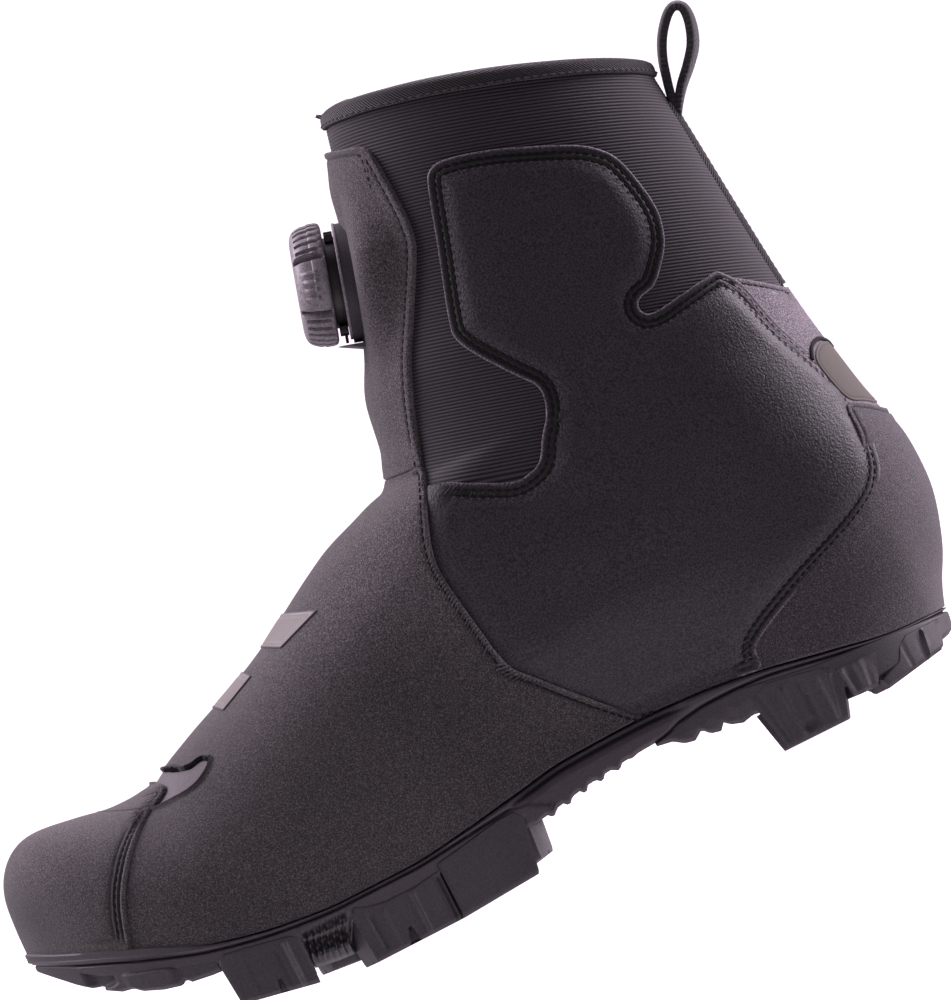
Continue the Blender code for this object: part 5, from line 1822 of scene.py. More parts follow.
def make_plate():
    """The nylon shell: lip, groove, bare arch wall and toe bumper."""
    coarse, fine = sole_angles(0.00100), sole_angles(0.00038)
    near = (place(fine, 0.0)[:, 0] > 0.0585) & (place(fine, 0.0)[:, 0] < 0.0790)
    apart = (place(coarse, 0.0)[:, 0] < 0.0583) | (place(coarse, 0.0)[:, 0] > 0.0792)
    half = np.sort(np.concatenate((coarse[apart], fine[near])))
    around = np.concatenate((half, -half[-2:0:-1]))
    here, outwards, _ = sole_axes(around)
    x = here[:, 0]
    low = feather_z(x)
    rim = low + TOE_GUARD * step(0.095, 0.120, x) - 0.4 * MM
    scallop = np.maximum(0.0, np.sin(2 * math.pi * (x / MM + 2.0) / 5.8)) ** 0.7
    bumps = 1.3 * MM * scallop * step(-38.0, -30.0, x / MM) * step(2.0, -4.0, x / MM)
    gap = 3.2 * MM * step(59.5, 62.0, x / MM) * step(78.0, 75.5, x / MM)
    foot = underside_z(x) - bumps - 4.6 * MM * recess_at(x)
    rows = []
    for share in np.linspace(0.0, 1.0, 40):
        z = rim - (rim - foot) * share
        out = plate_out(x, low, foot, z) - 0.9 * step(0.5, 0.0, (rim - z) / MM)
        ring = here + outwards * (out * MM)[:, None]
        rows.append(np.stack((ring[:, 0], ring[:, 1], z), axis=-1))
    top = [drawn_in(rows[0], share, rim - 0.05 * MM) for share in (0.0, 0.5, 0.9, 0.98)]
    under = []
    for share, sunk in ((0.97, 0.1), (0.90, 0.6), (0.80, 1.0), (0.60, 1.0), (0.30, 1.0), (0.0, 1.0)):
        under.append(drawn_in(rows[-1], share, foot - gap * sunk))
    plate = laid_block("sole_plate", top + rows + under)
    # Painted shade in the hollow between the first two lugs.
    tone_by_place(plate, lambda px, pz: 1.0 - 0.85 * recess_at(px) * step(21.0, 15.0, pz / MM))
    settle(plate, "nylon", FINISHES["nylon"], "sole_plate", angle=55)


def make_insole():
    half = sole_angles(0.00250)
    around = np.concatenate((half, -half[-2:0:-1]))
    here, outwards, _ = sole_axes(around)
    low = feather_z(here[:, 0]) + GAP
    inset = WALL + 2.4 * GAP

    def ring(further, rise):
        moved = here - outwards * (inset + further)
        return np.stack((moved[:, 0], moved[:, 1], low + rise), axis=-1)

    rim = [ring(0.0, 0.0), ring(0.0, 0.0020), ring(0.0004, 0.0033), ring(0.0014, INSOLE_THICK)]
    under = [drawn_in(rim[0], share, low) for share in (0.0, 0.5, 0.95)]
    upon = []
    for share in (0.96, 0.90, 0.80, 0.65, 0.45, 0.22, 0.0):
        upon.append(drawn_in(rim[-1], share, low + INSOLE_THICK - 0.0013 * (1 - share) ** 0.6))
    insole = laid_block("insole", under + rim + upon)
    settle(insole, "felt", FINISHES["insole"], "insole", angle=60)


def moulded_tread(name, around, top, foot, out):
    """A rubber moulding that laps the plate's edge along an open run of the outline."""
    here, outwards, _ = sole_axes(around)
    cross = np.linspace(here[-1, 1], here[0, 1], 24)[1:-1]
    bridge = np.stack((np.full(22, here[0, 0]), cross, np.full(22, here[0, 2])), axis=-1)
    sideways = np.zeros_like(bridge)
    sideways[:, 1] = np.linspace(outwards[-1, 1], outwards[0, 1], 24)[1:-1]
    here = np.concatenate((here, bridge))
    outwards = np.concatenate((outwards, sideways))
    x = here[:, 0]
    high, low = top(x), foot(x)
    seat = np.minimum(underside_z(x) - 2 * GAP, high - 0.3 * MM)

    def ring(distance, z):
        moved = here + outwards * (np.broadcast_to(distance, x.shape) * MM)[:, None]
        return np.stack((moved[:, 0], moved[:, 1], z), axis=-1)

    rim = [ring(-0.1, seat), ring(-0.1, high - 0.2 * MM), ring(np.minimum(0.6, out(x, high) - 1.0), high)]
    walls = []
    for share in np.linspace(0.0, 1.0, 30):
        z = high + (low - high) * share
        round_top = 0.9 * step(0.9, 0.0, (high - z) / MM) ** 2
        round_foot = 1.7 * step(1.8, 0.0, (z - low) / MM) ** 2
        walls.append(ring(out(x, z) - round_top - round_foot, z))
    within = [drawn_in(rim[0], share, seat) for share in (0.0, 0.5, 0.95)]
    under = [drawn_in(walls[-1], share, low) for share in (0.97, 0.88, 0.72, 0.5, 0.25, 0.0)]
    tread = laid_block(name, within + rim + walls + under)
    # Painted shade along the tread's rounded top edge.
    tone_by_place(tread, lambda px, pz: 1.0 - 0.55 * line_at((top(px) - pz) / MM, 0.0, 0.5))
    settle(tread, "rubber", FINISHES["rubber"], name, angle=50)


def toe_tread_out(x, z):
    mm, high = x / MM, z / MM
    notch = step(129.0, 130.6, mm) * step(137.6, 136.0, mm) * step(29.0, 30.4, high)
    notch = notch * step(37.6, 36.0, high)
    rise = (mm - 113) * 0.28
    block = step(112.2, 113.4, mm) * step(127.4, 125.8, mm) * step(27.6 + rise, 26.6 + rise, high)
    slit = np.exp(-((mm - 121.0 + (high - 30.0) * 1.6) / 0.8) ** 2) * step(29.0, 30.0, high)
    return 1.6 - 2.6 * notch + 0.8 * block - 1.0 * slit


def heel_tread_out(x, z):
    mm, high = x / MM, z / MM
    teeth = step(-75.0, -72.0, mm)
    facet = teeth * 1.1 * step(19.0, 14.0, high)
    lean = 1.9 - 0.25 * np.sin(2 * math.pi * mm / 6.2) * teeth * step(20.0, 17.0, high)
    lean = lean - 1.9 * step(-130.0, -146.0, mm) - 1.4 * step(-127.0, -142.0, mm) * step(15.5, 8.5, high)
    return lean - facet


def make_treads():
    angles = sole_angles(0.00090)
    x = place(angles, 0.0)[:, 0]
    toe = angles[x > 0.1006]
    toe = np.concatenate((toe, -toe[-2::-1]))
    moulded_tread("toe_tread", toe, table_of(TOE_TREAD_TOP), table_of(TOE_TREAD_FOOT), toe_tread_out)
    heel = angles[x < -0.0424]
    heel = np.concatenate((-heel[:0:-1], heel))
    moulded_tread("heel_tread", heel, table_of(HEEL_TREAD_TOP), table_of(HEEL_TREAD_FOOT), heel_tread_out)


def relief(name, x, z):
    """Moulded details of a lug's outer wall, outwards in millimetres."""
    mm, high = x / MM, z / MM
    total = np.zeros(np.broadcast(mm, high).shape)
    for kind, at_x, low, top, width, depth in LUG_RELIEF.get(name, ()):
        run = np.clip((high - low) / (top - low), 0.0, 1.0)
        ends = step(low - 0.5, low + 0.7, high) * step(top + 0.7, top - 0.9, high)
        half = width / 2
        if kind == "rib":
            total = total + depth * ends * np.minimum(1.0, 1.6 * tent(mm - at_x, half))
        elif kind == "slit":
            total = total - depth * ends * tent(mm - at_x, half)
        elif kind == "notch":
            cut = np.maximum(0.05, half * (1.0 - run))
            total = total - depth * step(1.25, 0.75, np.abs(mm - at_x) / cut) * step(top, top - 0.8, high)
        elif kind == "spear":
            wide = np.maximum(0.05, half * (1.0 - np.abs(2 * run - 0.9)))
            total = total + depth * ends * tent(mm - at_x, wide)
        else:
            across = np.abs(mm - at_x) / half + 0.6 * np.abs(high - (low + top) / 2) / (top - low)
            total = total - depth * step(1.05, 0.85, across) * ends
    return total


def make_lug(row, angles, places):
    """A rubber block: a moulded outer wall, a bevelled foot and a hidden top."""
    name, side, front, back, foot_front, foot_back, deep, reach_front, reach_back, outline = row
    middle = (front + back) / 2
    spread = np.linspace(back, front, max(10, int((front - back) / 0.42)))
    x = spread * MM
    angle = np.interp(x, places, angles)
    here, outwards, along = sole_axes(side * angle)
    along = along * side
    if outline:
        keys, heights = np.array(sorted(outline)).T
        ahead = np.where(
            spread > middle, reach_front * (spread - middle) / (front - middle),
            -reach_back * (middle - spread) / (middle - back),
        )
        top = np.interp(spread + ahead, keys, heights)
    else:
        ends = np.minimum(spread - back, front - spread)
        top = feather_z(x) / MM - 4.4 - 1.6 * step(3.4, 0.8, ends)
    foot = foot_back + (foot_front - foot_back) * (spread - back) / (front - back)
    if name.startswith("lug_heel"):
        inside = np.interp(x, *(np.array(HEEL_TREAD_FOOT).T * MM)) / MM - 0.3
    else:
        inside = underside_z(x) / MM - 0.3
    inside = np.minimum(inside, top - 1.0)

    def station(k, share, end):
        """The ring at one place along the block, drawn in towards its middle by share."""
        ring = []
        wall_out = 2.15 - 0.55 * end
        for s in np.linspace(0.0, 1.0, 30):
            z = top[k] + (foot[k] - top[k]) * s
            out = wall_out + relief(name, x[k], z * MM) * (1.0 - end)
            out = out - 0.9 * step(0.9, 0.0, top[k] - z) ** 2 - 1.3 * step(1.5, 0.0, z - foot[k]) ** 2
            ring.append((out, z))
        for s in (0.08, 0.2, 0.32, 0.34, 0.38, 0.40, 0.55, 0.70, 0.85, 0.94):
            groove = 0.9 if s in (0.34, 0.38) else 0.0
            ring.append((2.15 - (deep + 2.15) * s, foot[k] + groove))
        ring.append((-deep + 0.6, foot[k] + 0.5))
        ring.append((-deep, foot[k] + 1.6))
        ring.append((-deep - 0.6, (foot[k] + inside[k]) / 2))
        ring.append((-deep - 1.2, inside[k]))
        ring.append((-0.9, inside[k]))
        ring.append((-0.9, top[k] - 0.2))
        ring = np.array(ring, float)
        out, z = ring[:, 0], ring[:, 1]
        mid_out, mid_z = out.mean(), z.mean()
        out, z = mid_out + (out - mid_out) * share, mid_z + (z - mid_z) * share
        height = np.clip((z - foot[k]) / (top[k] - foot[k]), 0.0, 1.0)
        if spread[k] > middle:
            shift = reach_front * (spread[k] - middle) / (front - middle)
        else:
            shift = -reach_back * (middle - spread[k]) / (middle - back)
        place_at = here[k] + outwards[k] * out[:, None] * MM
        place_at = place_at + along[k] * (shift * height)[:, None] * MM
        place_at[:, 2] = z * MM
        return place_at

    last = len(spread) - 1
    rings = [station(0, share, 1.0) for share in (0.0, 0.5, 0.9, 0.985)]
    for k in range(last + 1):
        near = min(k, last - k)
        rings.append(station(k, 1.0, (0.55, 0.2, 0.05)[near] if near < 3 else 0.0))
    rings += [station(last, share, 1.0) for share in (0.985, 0.9, 0.5, 0.0)]
    lug = laid_block(name, rings)

    # Painted light: painted highlights on raised ribs, painted shade in slits and notches, and painted shade
    # along the top's outline.
    def tone(px, pz):
        proud = relief(name, px, pz)
        outline_at = (np.interp(px / MM, spread + ahead, top) if outline else 99.0) - pz / MM
        relief_shading = 1.0 + 1.1 * np.clip(proud, 0.0, 1.0) - 0.55 * np.clip(-proud, 0.0, 1.0)
        return relief_shading - 0.45 * line_at(outline_at, 0.0, 0.5)

    tone_by_place(lug, tone)
    settle(lug, "rubber", FINISHES["rubber"], name, angle=42)


def make_lugs():
    angles = sole_angles(0.00050)
    places = place(angles, 0.0)[:, 0]
    for row in LUGS:
        make_lug(row, angles, places)


def cube(name, low, high, edge=0.0):
    """A box between two corners, with bevelled edges."""
    deselect()
    middle = [(a + b) / 2 for a, b in zip(low, high)]
    bpy.ops.mesh.primitive_cube_add(size=1.0, location=middle)
    obj = bpy.context.object
    obj.name = obj.data.name = name
    obj.scale = [b - a for a, b in zip(low, high)]
    bpy.ops.object.transform_apply(location=True, rotation=True, scale=True)
    if edge:
        bevel = obj.modifiers.new("edge", "BEVEL")
        bevel.width = edge
        bevel.segments = 3
    return obj


# Corners around one slot of the cleat pad.
SLOT_SIDES = 24


def make_cleat_pad():
    front = at(CLEAT_FRONT)
    back = front - CLEAT_LONG
    middle = (front + back) / 2
    y = float(centre_y(middle))
    top = float(underside_z(np.linspace(back, front, 9)).min()) - GAP
    pad = cube("cleat_pad", (back, y - CLEAT_WIDE / 2, CLEAT_LEVEL), (front, y + CLEAT_WIDE / 2, top))
    for side in (-1, 1):
        centre = y + side * SLOT_SPACING / 2
        turns = (np.arange(SLOT_SIDES) + 0.5) * 2 * math.pi / SLOT_SIDES
        straight = np.sign(np.cos(turns)) * (SLOT_LONG - SLOT_WIDE) / 2
        outline = [
            (middle + s + math.cos(a) * SLOT_WIDE / 2, centre + math.sin(a) * SLOT_WIDE / 2)
            for s, a in zip(straight, turns)
        ]
        levels = (CLEAT_LEVEL - SLOT_DEEP, CLEAT_LEVEL + SLOT_DEEP)
        cutter = lofted("slot_cutter", [[Vector((px, py, z)) for px, py in outline] for z in levels])
        outward(cutter)
        cut = pad.modifiers.new("slot", "BOOLEAN")
        cut.operation = "DIFFERENCE"
        cut.object = cutter
        apply_modifiers(pad)
        bpy.data.objects.remove(cutter)
    bevel = pad.modifiers.new("edge", "BEVEL")
    bevel.width = 0.0006
    bevel.segments = 3
    bevel.limit_method = "ANGLE"
    apply_modifiers(pad)
    tone_by_place(pad, lambda px, pz: 1.0)
    settle(pad, "nylon", FINISHES["nylon"], "cleat_pad", angle=35)


# Lace dial

GUIDE_WIDTH = 0.0140
GUIDE_REACH = 0.0107
GUIDE_DROP = 0.0205
GUIDE_RISE = 0.0016
LACE_SPACING = 0.0070
PAD_TAIL = 0.0014
# From the flange down to the flap's bulge behind the dial, in millimetres.
PLATFORM_DROP = 3.2
# The knob's rim: three smooth grips with gaps beside them, and ribs between the grips.
GRIPS = 3
GRIP_HALF = math.radians(28.8)
RIB_PITCH = math.radians(9.6)
STUD_PITCH = math.radians(8.2)
KNOB_PROFILE = (
    # share of the radius, share of the thickness
    (0.00, 0.00), (0.50, 0.00), (0.86, 0.00), (0.93, 0.01), (0.975, 0.05), (0.995, 0.12),
    (1.00, 0.20), (1.00, 0.30), (0.998, 0.38), (0.992, 0.41), (0.978, 0.43), (0.976, 0.48),
    (0.974, 0.54), (0.968, 0.62), (0.955, 0.70), (0.935, 0.78), (0.905, 0.86), (0.865, 0.92),
    (0.810, 0.965), (0.740, 0.99), (0.660, 1.00), (0.600, 0.985), (0.560, 0.955), (0.540, 0.93),
    (0.300, 0.92), (0.00, 0.92),
)


def dial_axes():
    """Middle of the flange, and the axis, sideways and upward directions."""
    cos, sin = math.cos(DIAL_TILT), math.sin(DIAL_TILT)
    middle = np.array((float(front_x(DIAL_HEIGHT)) + DIAL_STAND_OFF, 0.0, DIAL_HEIGHT))
    return middle, np.array((cos, 0.0, sin)), np.array((0.0, 1.0, 0.0)), np.array((-sin, 0.0, cos))


def dial_ring(turn, radius, out):
    middle, axis, across, upward = dial_axes()
    turn, radius, out = np.broadcast_arrays(turn, radius, out)
    spoke = across * np.sin(turn)[:, None] + upward * np.cos(turn)[:, None]
    return middle + axis * out[:, None] + spoke * radius[:, None]


def dial_disc(name, radius, low, high, edge):
    """A round plate on the dial's axis with softened edges."""
    middle, axis, _, _ = dial_axes()
    deselect()
    bpy.ops.mesh.primitive_cylinder_add(
        vertices=96, radius=radius, depth=high - low,
        location=tuple(middle + axis * (low + high) / 2),
        rotation=(0.0, math.pi / 2 - DIAL_TILT, 0.0),
    )
    obj = bpy.context.object
    obj.name = obj.data.name = name
    bevel = obj.modifiers.new("edge", "BEVEL")
    bevel.width = edge
    bevel.segments = 3
    bevel.limit_method = "ANGLE"
    apply_modifiers(obj)
    return obj


def make_dial_base():
    """The pad on the flap, the flange and the neck with its two lugs."""
    turn = np.linspace(0.0, 2 * math.pi, 96, endpoint=False)
    tail = np.maximum(0.0, -np.cos(turn)) ** 4 * PAD_TAIL
    face = dial_ring(turn, FLANGE_RADIUS * 0.985, 0.3 * GAP)
    _, axis, _, upward = dial_axes()
    face = face - upward * tail[:, None]
    bend = SHAFT_WIDTH / 2
    depth = bend - np.sqrt(bend ** 2 - face[:, 1] ** 2)
    foot = face + axis * ((front_x(face[:, 2]) - 0.0012 - depth - face[:, 0]) / axis[0])[:, None]
    middle = face.mean(axis=0)
    root = foot.mean(axis=0)
    rows = [middle + (root - middle) + (foot - root) * share for share in (0.0, 0.6)]
    waist = foot + (face - foot) * 0.45
    spread = foot + unit(foot - middle) * 0.0006
    rows += [spread, spread + (waist - spread) * 0.5, waist, foot + (face - foot) * 0.8, face]
    rows += [middle + (face - middle) * share for share in (0.97, 0.5, 0.0)]
    pad = laid_block("dial_pad", rows)
    settle(pad, "dial_grey", FINISHES["dial_pad"], "dial_pad", angle=50)

    flange = dial_disc("dial_flange", FLANGE_RADIUS, 0.0, FLANGE_THICK, 0.00028)
    settle(flange, "dial_grey", FINISHES["dial_grey"], "dial_flange", angle=35)

    foot = FLANGE_THICK
    neck = dial_disc("dial_neck", NECK_RADIUS, foot - 0.3 * GAP, foot + NECK_TALL + 1.3 * GAP, 0.0001)
    middle, axis, across, upward = dial_axes()
    pieces = [neck]
    for way in (1.0, -1.0):
        for span, thick in ((0.0, 0.0030), (0.0052, 0.0016), (-0.0052, 0.0016)):
            spot = middle + axis * (foot + NECK_TALL / 2)
            spot = spot + upward * way * (NECK_RADIUS + 0.0002) + across * span
            low_corner = (-0.00135, -0.0016, -thick / 2 - 0.0008)
            lug = cube("neck_lug", low_corner, (0.00125, 0.0016, thick / 2), 0.0003)
            apply_modifiers(lug)
            lug.location = tuple(spot)
            lug.rotation_euler = (0.0, -DIAL_TILT, 0.0)
            pieces.append(lug)
    deselect()
    for piece in pieces:
        piece.select_set(True)
    bpy.context.view_layer.objects.active = neck
    bpy.ops.object.join()
    settle(neck, "dial_black", FINISHES["dial_black"], "dial_neck", angle=35)


def make_knob():
    """The knob: gaps beside its grips, ribs between them and four studs on each grip."""
    turn = np.linspace(0.0, 2 * math.pi, 384, endpoint=False)
    period = 2 * math.pi / GRIPS
    local = (turn - math.pi / 2 + period / 2) % period - period / 2
    low = FLANGE_THICK + GAP + NECK_TALL
    gap = tent(np.abs(local) - GRIP_HALF, math.radians(3.8))
    gap = np.minimum(1.0, 1.7 * gap)
    ribbed = step(GRIP_HALF + math.radians(3.0), GRIP_HALF + math.radians(4.5), np.abs(local))
    valley = step(0.1, 0.75, np.cos(2 * math.pi * (np.abs(local) - period / 2) / RIB_PITCH + math.pi))
    stud = step(0.1, 0.6, -np.cos(2 * math.pi * local / STUD_PITCH)) * (np.abs(local) < 2 * STUD_PITCH)
    rings = []
    for share, thick in KNOB_PROFILE:
        rim = step(0.55, 0.80, share)
        side = step(0.10, 0.17, thick) * step(0.86, 0.74, thick)
        cut = 3.0 * gap * step(0.02, 0.10, thick) * step(0.98, 0.86, thick)
        cut = cut + 1.5 * ribbed * valley * side
        raised = 0.90 * stud * step(0.30, 0.40, thick) * step(0.74, 0.64, thick)
        radius = KNOB_RADIUS * share - (cut - raised) * MM * rim
        rings.append(dial_ring(turn, radius, low + KNOB_THICK * thick))
    knob = laid_block("dial_knob", rings)
    settle(knob, "dial_grey", FINISHES["dial_grey"], "dial_knob", angle=38)


def make_guide():
    """The thin hood under the dial and the two lace runs that come up from it."""
    middle, axis, across, upward = dial_axes()
    foot = middle - upward * GUIDE_DROP
    root_x = float(front_x(foot[2])) - foot[0]
    rings = []
    sides = np.linspace(-1.0, 1.0, 29)
    for shrink, s in [(0.0, -1.0)] + [(1.0, s) for s in sides] + [(0.0, 1.0)]:
        y = GUIDE_WIDTH / 2 * s
        bend = SHAFT_WIDTH / 2
        behind = bend - math.sqrt(bend ** 2 - y * y)
        root = foot + axis * ((root_x - 0.0004 - behind) / axis[0]) + across * y
        tip = GUIDE_REACH * math.sqrt(max(0.05, 1.0 - abs(s) ** 2.6))
        section = []
        for share, rise, thick in ((0.0, 0.0, 1.3), (0.15, 0.1, 0.95), (0.5, 0.45, 0.55), (0.9, 0.93, 0.28)):
            section.append(root + axis * tip * share + upward * (GUIDE_RISE * rise + thick * MM))
        section.append(root + axis * (tip + 0.0002) + upward * GUIDE_RISE)
        for share, rise, thick in ((0.9, 0.93, 0.28), (0.5, 0.45, 0.55), (0.15, 0.1, 0.95), (0.0, 0.0, 1.3)):
            section.append(root + axis * tip * share + upward * (GUIDE_RISE * rise - thick * MM))
        section = np.array(section)
        centre = section.mean(axis=0)
        rings.append(centre + (section - centre) * shrink)
    guide = laid_block("lace_guide", rings)
    settle(guide, "dial_black", FINISHES["dial_black"], "lace_guide", angle=40)

    start, stop = NECK_RADIUS + GAP, GUIDE_DROP - GUIDE_RISE - 2 * GAP
    out = FLANGE_THICK + 0.0011
    turn = np.linspace(0.0, 2 * math.pi, 12, endpoint=False)
    for name, side in (("lace_medial", 1), ("lace_lateral", -1)):
        rings = []
        for k in range(41):
            share = k / 40
            centre = middle - upward * (start + (stop - start) * share) + axis * out
            centre = centre + across * side * LACE_SPACING / 2
            braid = 0.00045 + 0.00006 * np.cos(3 * turn + share * 40.0)
            thin = braid * (0.0 if k in (0, 40) else 1.0)
            ring = axis * (np.cos(turn) * thin)[:, None] + across * (np.sin(turn) * thin)[:, None]
            rings.append(centre + ring)
        settle(laid_block(name, rings), "webbing", FINISHES["lace"], name, angle=60)


# Stage

CAMERA_AWAY = 12.0
FRAME_HIGH = 0.2950
PHOTO_ROLL = math.radians(27.2)
AIM = (-0.0284, 0.1078)
SENSOR = 36.0
LIGHT_TINT = (1.0, 0.87, 1.0)


def make_stage():
    """Glowing floor, soft studio light and the camera at the photograph's angle."""
    scene = bpy.context.scene
    scene.view_settings.view_transform = "Standard"
    deselect()
    bpy.ops.mesh.primitive_plane_add(size=24.0, location=(0.0, 0.0, -0.0002))
    floor = bpy.context.object
    floor.name = "floor"
    pale = Finish("glowing_floor", (0.16, 0.16, 0.16), 0.9, specular=0.0)
    pale.shaded(pale.noise(400.0, 2.0), 0.99, 1.01)
    # The floor glows: evenly white to the camera, and in a pool around the shoe that lights it from below.
    pale.shader.inputs["Emission Color"].default_value = (*LIGHT_TINT, 1.0)
    away = pale.node("ShaderNodeVectorMath", operation="LENGTH")
    pale.link(pale.place(), away.inputs[0])
    glow = pale.node("ShaderNodeMapRange", interpolation_type="SMOOTHSTEP")
    glow.inputs["From Min"].default_value = 0.10
    glow.inputs["From Max"].default_value = 0.42
    glow.inputs["To Min"].default_value = 1.0
    glow.inputs["To Max"].default_value = 0.05
    pale.link(away.outputs["Value"], glow.inputs["Value"])
    seen = pale.math("MULTIPLY", pale.node("ShaderNodeLightPath").outputs["Is Camera Ray"], 1.3)
    pale.link(pale.math("MAXIMUM", glow.outputs["Result"], seen), pale.shader.inputs["Emission Strength"])
    floor.data.materials.append(pale.made)

    cos, sin = math.cos(PHOTO_ROLL), math.sin(PHOTO_ROLL)
    data = bpy.data.cameras.new("camera")
    data.sensor_width = SENSOR
    data.lens = SENSOR * CAMERA_AWAY / FRAME_HIGH
    data.clip_end = 60.0
    camera = bpy.data.objects.new("camera", data)
    camera.matrix_world = Matrix((
        (-cos, -sin, 0.0, AIM[0]),
        (0.0, 0.0, 1.0, CAMERA_AWAY),
        (-sin, cos, 0.0, AIM[1]),
        (0.0, 0.0, 0.0, 1.0),
    ))
    scene.collection.objects.link(camera)
    scene.camera = camera

    lights = (
        # name, direction towards the light, irradiance, angular size in degrees
        ("toe_light", (0.70, -0.10, 0.70), 4.2, 50.0),
        ("heel_light", (-0.92, -0.22, 0.30), 6.0, 40.0),
        ("top_light", (0.05, -0.40, 0.90), 1.2, 80.0),
        ("front_light", (0.35, 0.85, 0.15), 0.30, 80.0),
    )
    for name, towards, strength, spread in lights:
        sun = bpy.data.lights.new(name, "SUN")
        sun.energy = strength
        sun.angle = math.radians(spread)
        sun.color = LIGHT_TINT
        obj = bpy.data.objects.new(name, sun)
        obj.rotation_euler = Vector(towards).to_track_quat("Z", "Y").to_euler()
        scene.collection.objects.link(obj)

    world = bpy.data.worlds.new("studio")
    world.use_nodes = True
    scene.world = world
    tree = world.node_tree
    background = tree.nodes["Background"]
    coordinates = tree.nodes.new("ShaderNodeTexCoord")
    split = tree.nodes.new("ShaderNodeSeparateXYZ")
    tree.links.new(coordinates.outputs["Generated"], split.inputs["Vector"])
    behind = tree.nodes.new("ShaderNodeMapRange")
    behind.inputs["From Min"].default_value = 0.35
    behind.inputs["From Max"].default_value = -0.55
    behind.inputs["To Min"].default_value = 0.06
    behind.inputs["To Max"].default_value = 0.5
    tree.links.new(split.outputs["Y"], behind.inputs["Value"])
    path = tree.nodes.new("ShaderNodeLightPath")
    seen = tree.nodes.new("ShaderNodeMath")
    seen.operation = "MAXIMUM"
    bright = tree.nodes.new("ShaderNodeMath")
    bright.operation = "MULTIPLY"
    bright.inputs[1].default_value = 1.3
    tree.links.new(path.outputs["Is Camera Ray"], bright.inputs[0])
    tree.links.new(behind.outputs["Result"], seen.inputs[0])
    tree.links.new(bright.outputs["Value"], seen.inputs[1])
    tree.links.new(seen.outputs["Value"], background.inputs["Strength"])
    background.inputs["Color"].default_value = (*LIGHT_TINT, 1.0)


# Add-on


def length_property(label, text, size):
    return bpy.props.FloatProperty(
        name=label, description=text, default=size, min=0.0, subtype="DISTANCE", unit="LENGTH",
    )


def colour_property(label, text, colour):
    return bpy.props.FloatVectorProperty(
        name=label, description=text, default=colour, min=0.0, max=1.0, subtype="COLOR",
    )


class ShoeSizes(bpy.types.PropertyGroup):
    """Sizes of the fine pieces that the CAD model leaves out."""
    stitch_long: length_property("Stitch", "Length of one stitch", 0.00175)
    stitch_pitch: length_property("Stitch pitch", "From one stitch to the next", 0.00245)
    thread: length_property("Thread", "Thickness of the thread", 0.00072)


class ShoeColours(bpy.types.PropertyGroup):
    """Base colours of the finishes."""
    grained: colour_property("Grained fabric", "Toe cap, vamp and flap", (0.046, 0.041, 0.042))
    heel: colour_property("Heel fabric", "Heel counter and back panel", (0.052, 0.045, 0.051))
    leather: colour_property("Smooth leather", "Side panels", (0.0185, 0.0160, 0.0200))
    ribbed: colour_property("Ribbed fabric", "Shaft", (0.022, 0.019, 0.023))
    tape: colour_property("Tape", "Binding, strap and pull loop", (0.019, 0.018, 0.019))
    lining: colour_property("Lining", "Inside of the wall", (0.022, 0.021, 0.022))
    insole: colour_property("Insole", "Felt of the insole", (0.030, 0.029, 0.031))
    nylon: colour_property("Nylon", "Sole plate", (0.034, 0.029, 0.034))
    rubber: colour_property("Rubber", "Treads and lugs", (0.029, 0.026, 0.030))
    dial_grey: colour_property("Dial grey", "Knob and flange", (0.215, 0.200, 0.215))
    dial_black: colour_property("Dial black", "Neck and guide", (0.012, 0.011, 0.012))
    dial_pad: colour_property("Dial pad", "Pad behind the flange", (0.036, 0.031, 0.038))
    reflective: colour_property("Reflective film", "Instep windows", (0.160, 0.146, 0.132))
    # Darkened as painted shade, to offset the strong heel light on the patch.
    shaded_heel_film: colour_property("Heel film", "Patch above the heel", (0.100, 0.090, 0.076))
    slot_cloth: colour_property("Slot cloth", "Layer under the toe slot", (0.080, 0.072, 0.080))
    dark_thread: colour_property("Dark thread", "Seams", (0.0050, 0.0042, 0.0052))
    # Its light colour paints glints on the bumps between the stitches.
    glint_bump: colour_property("Pucker", "Leather drawn up between stitches", (0.060, 0.055, 0.062))
    pale_thread: colour_property("Pale thread", "Collar seam", (0.060, 0.055, 0.058))


class ShoePiece:
    """What the shoe's operators share."""
    bl_options = {"REGISTER", "UNDO"}

    def execute(self, context):
        self.build(context.scene.shoe_sizes)
        return {"FINISHED"}


class SHOE_OT_finishes(bpy.types.Operator):
    """Makes the materials of every piece"""
    bl_idname = "shoe.finishes"
    bl_label = "Finishes"

    def execute(self, context):
        build_finishes(context.scene.shoe_colours)
        return {"FINISHED"}


class SHOE_OT_shaft(ShoePiece, bpy.types.Operator):
    """Builds the lining and the ribbed shaft"""
    bl_idname = "shoe.shaft"
    bl_label = "Shaft and lining"

    def build(self, sizes):
        lining_shell()
        ribbed_shaft()


class SHOE_OT_side_panels(ShoePiece, bpy.types.Operator):
    """Builds the smooth leather panels and their stitches"""
    bl_idname = "shoe.side_panels"
    bl_label = "Side panels"

    def build(self, sizes):
        make_side_panels(sizes)


class SHOE_OT_vamp(ShoePiece, bpy.types.Operator):
    """Builds the grained vamp"""
    bl_idname = "shoe.vamp"
    bl_label = "Vamp"

    def build(self, sizes):
        make_vamp(sizes)


class SHOE_OT_toe_cap(ShoePiece, bpy.types.Operator):
    """Builds the toe cap, the slot behind it and the instep's reflective bars"""
    bl_idname = "shoe.toe_cap"
    bl_label = "Toe cap"

    def build(self, sizes):
        make_toe_cap(sizes)
        make_slot_and_windows(sizes)


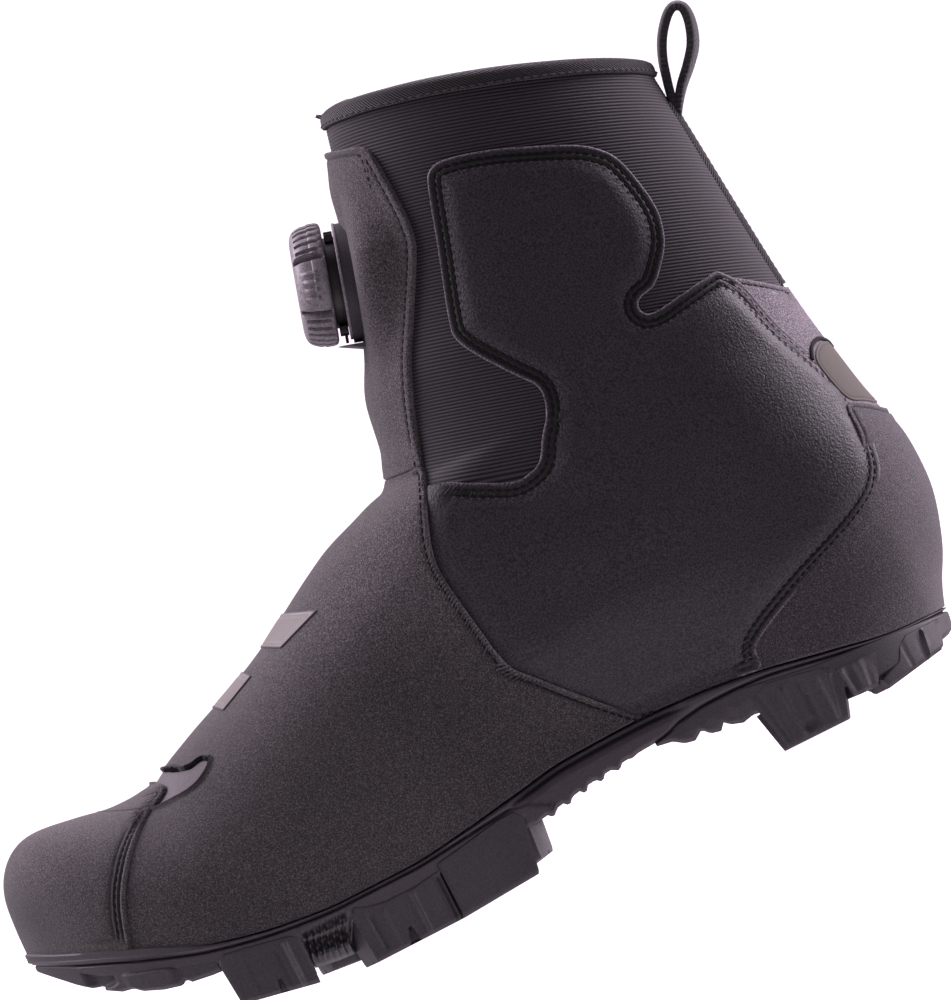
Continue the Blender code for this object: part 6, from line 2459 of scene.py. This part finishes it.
class SHOE_OT_heel(ShoePiece, bpy.types.Operator):
    """Builds the heel counter, the back panel and its reflective patch"""
    bl_idname = "shoe.heel"
    bl_label = "Heel"

    def build(self, sizes):
        make_heel(sizes)


class SHOE_OT_flap(ShoePiece, bpy.types.Operator):
    """Builds the front flap"""
    bl_idname = "shoe.flap"
    bl_label = "Front flap"

    def build(self, sizes):
        make_flap(sizes)


class SHOE_OT_collar(ShoePiece, bpy.types.Operator):
    """Builds the collar's binding, the back strap and the pull loop"""
    bl_idname = "shoe.collar"
    bl_label = "Collar and pull loop"

    def build(self, sizes):
        make_binding(sizes)
        make_webbing(sizes)


class SHOE_OT_sole(ShoePiece, bpy.types.Operator):
    """Builds the plate, the treads, the lugs, the cleat pad and the insole"""
    bl_idname = "shoe.sole"
    bl_label = "Sole"

    def build(self, sizes):
        make_plate()
        make_treads()
        make_lugs()
        make_cleat_pad()
        make_insole()


class SHOE_OT_dial(ShoePiece, bpy.types.Operator):
    """Builds the lace dial, its guide and the two lace runs"""
    bl_idname = "shoe.dial"
    bl_label = "Lace dial"

    def build(self, sizes):
        make_dial_base()
        make_knob()
        make_guide()


class SHOE_OT_stage(bpy.types.Operator):
    """Adds the floor, the studio light and the camera"""
    bl_idname = "shoe.stage"
    bl_label = "Stage"

    def execute(self, context):
        make_stage()
        return {"FINISHED"}


OPERATORS = (
    SHOE_OT_stage, SHOE_OT_finishes, SHOE_OT_shaft, SHOE_OT_side_panels, SHOE_OT_vamp,
    SHOE_OT_toe_cap, SHOE_OT_heel, SHOE_OT_flap, SHOE_OT_collar, SHOE_OT_sole, SHOE_OT_dial,
)


class SHOE_PT_sidebar(bpy.types.Panel):
    """Lists the shoe's sizes, colours and operators"""
    bl_label = "Winter cycling shoe"
    bl_space_type = "VIEW_3D"
    bl_region_type = "UI"
    bl_category = "Shoe"

    def draw(self, context):
        for group in (context.scene.shoe_sizes, context.scene.shoe_colours):
            box = self.layout.box()
            for key in group.bl_rna.properties.keys():
                if key not in ("rna_type", "name"):
                    box.prop(group, key)
        for operator in OPERATORS:
            self.layout.operator(operator.bl_idname)


CLASSES = (ShoeSizes, ShoeColours, *OPERATORS, SHOE_PT_sidebar)


def register():
    for made in CLASSES:
        bpy.utils.register_class(made)
    bpy.types.Scene.shoe_sizes = bpy.props.PointerProperty(type=ShoeSizes)
    bpy.types.Scene.shoe_colours = bpy.props.PointerProperty(type=ShoeColours)


def unregister():
    del bpy.types.Scene.shoe_colours
    del bpy.types.Scene.shoe_sizes
    for made in reversed(CLASSES):
        bpy.utils.unregister_class(made)


def main():
    register()
    for operator in OPERATORS:
        group, call = operator.bl_idname.split(".")
        getattr(getattr(bpy.ops, group), call)()


if __name__ == "__main__":
    main()
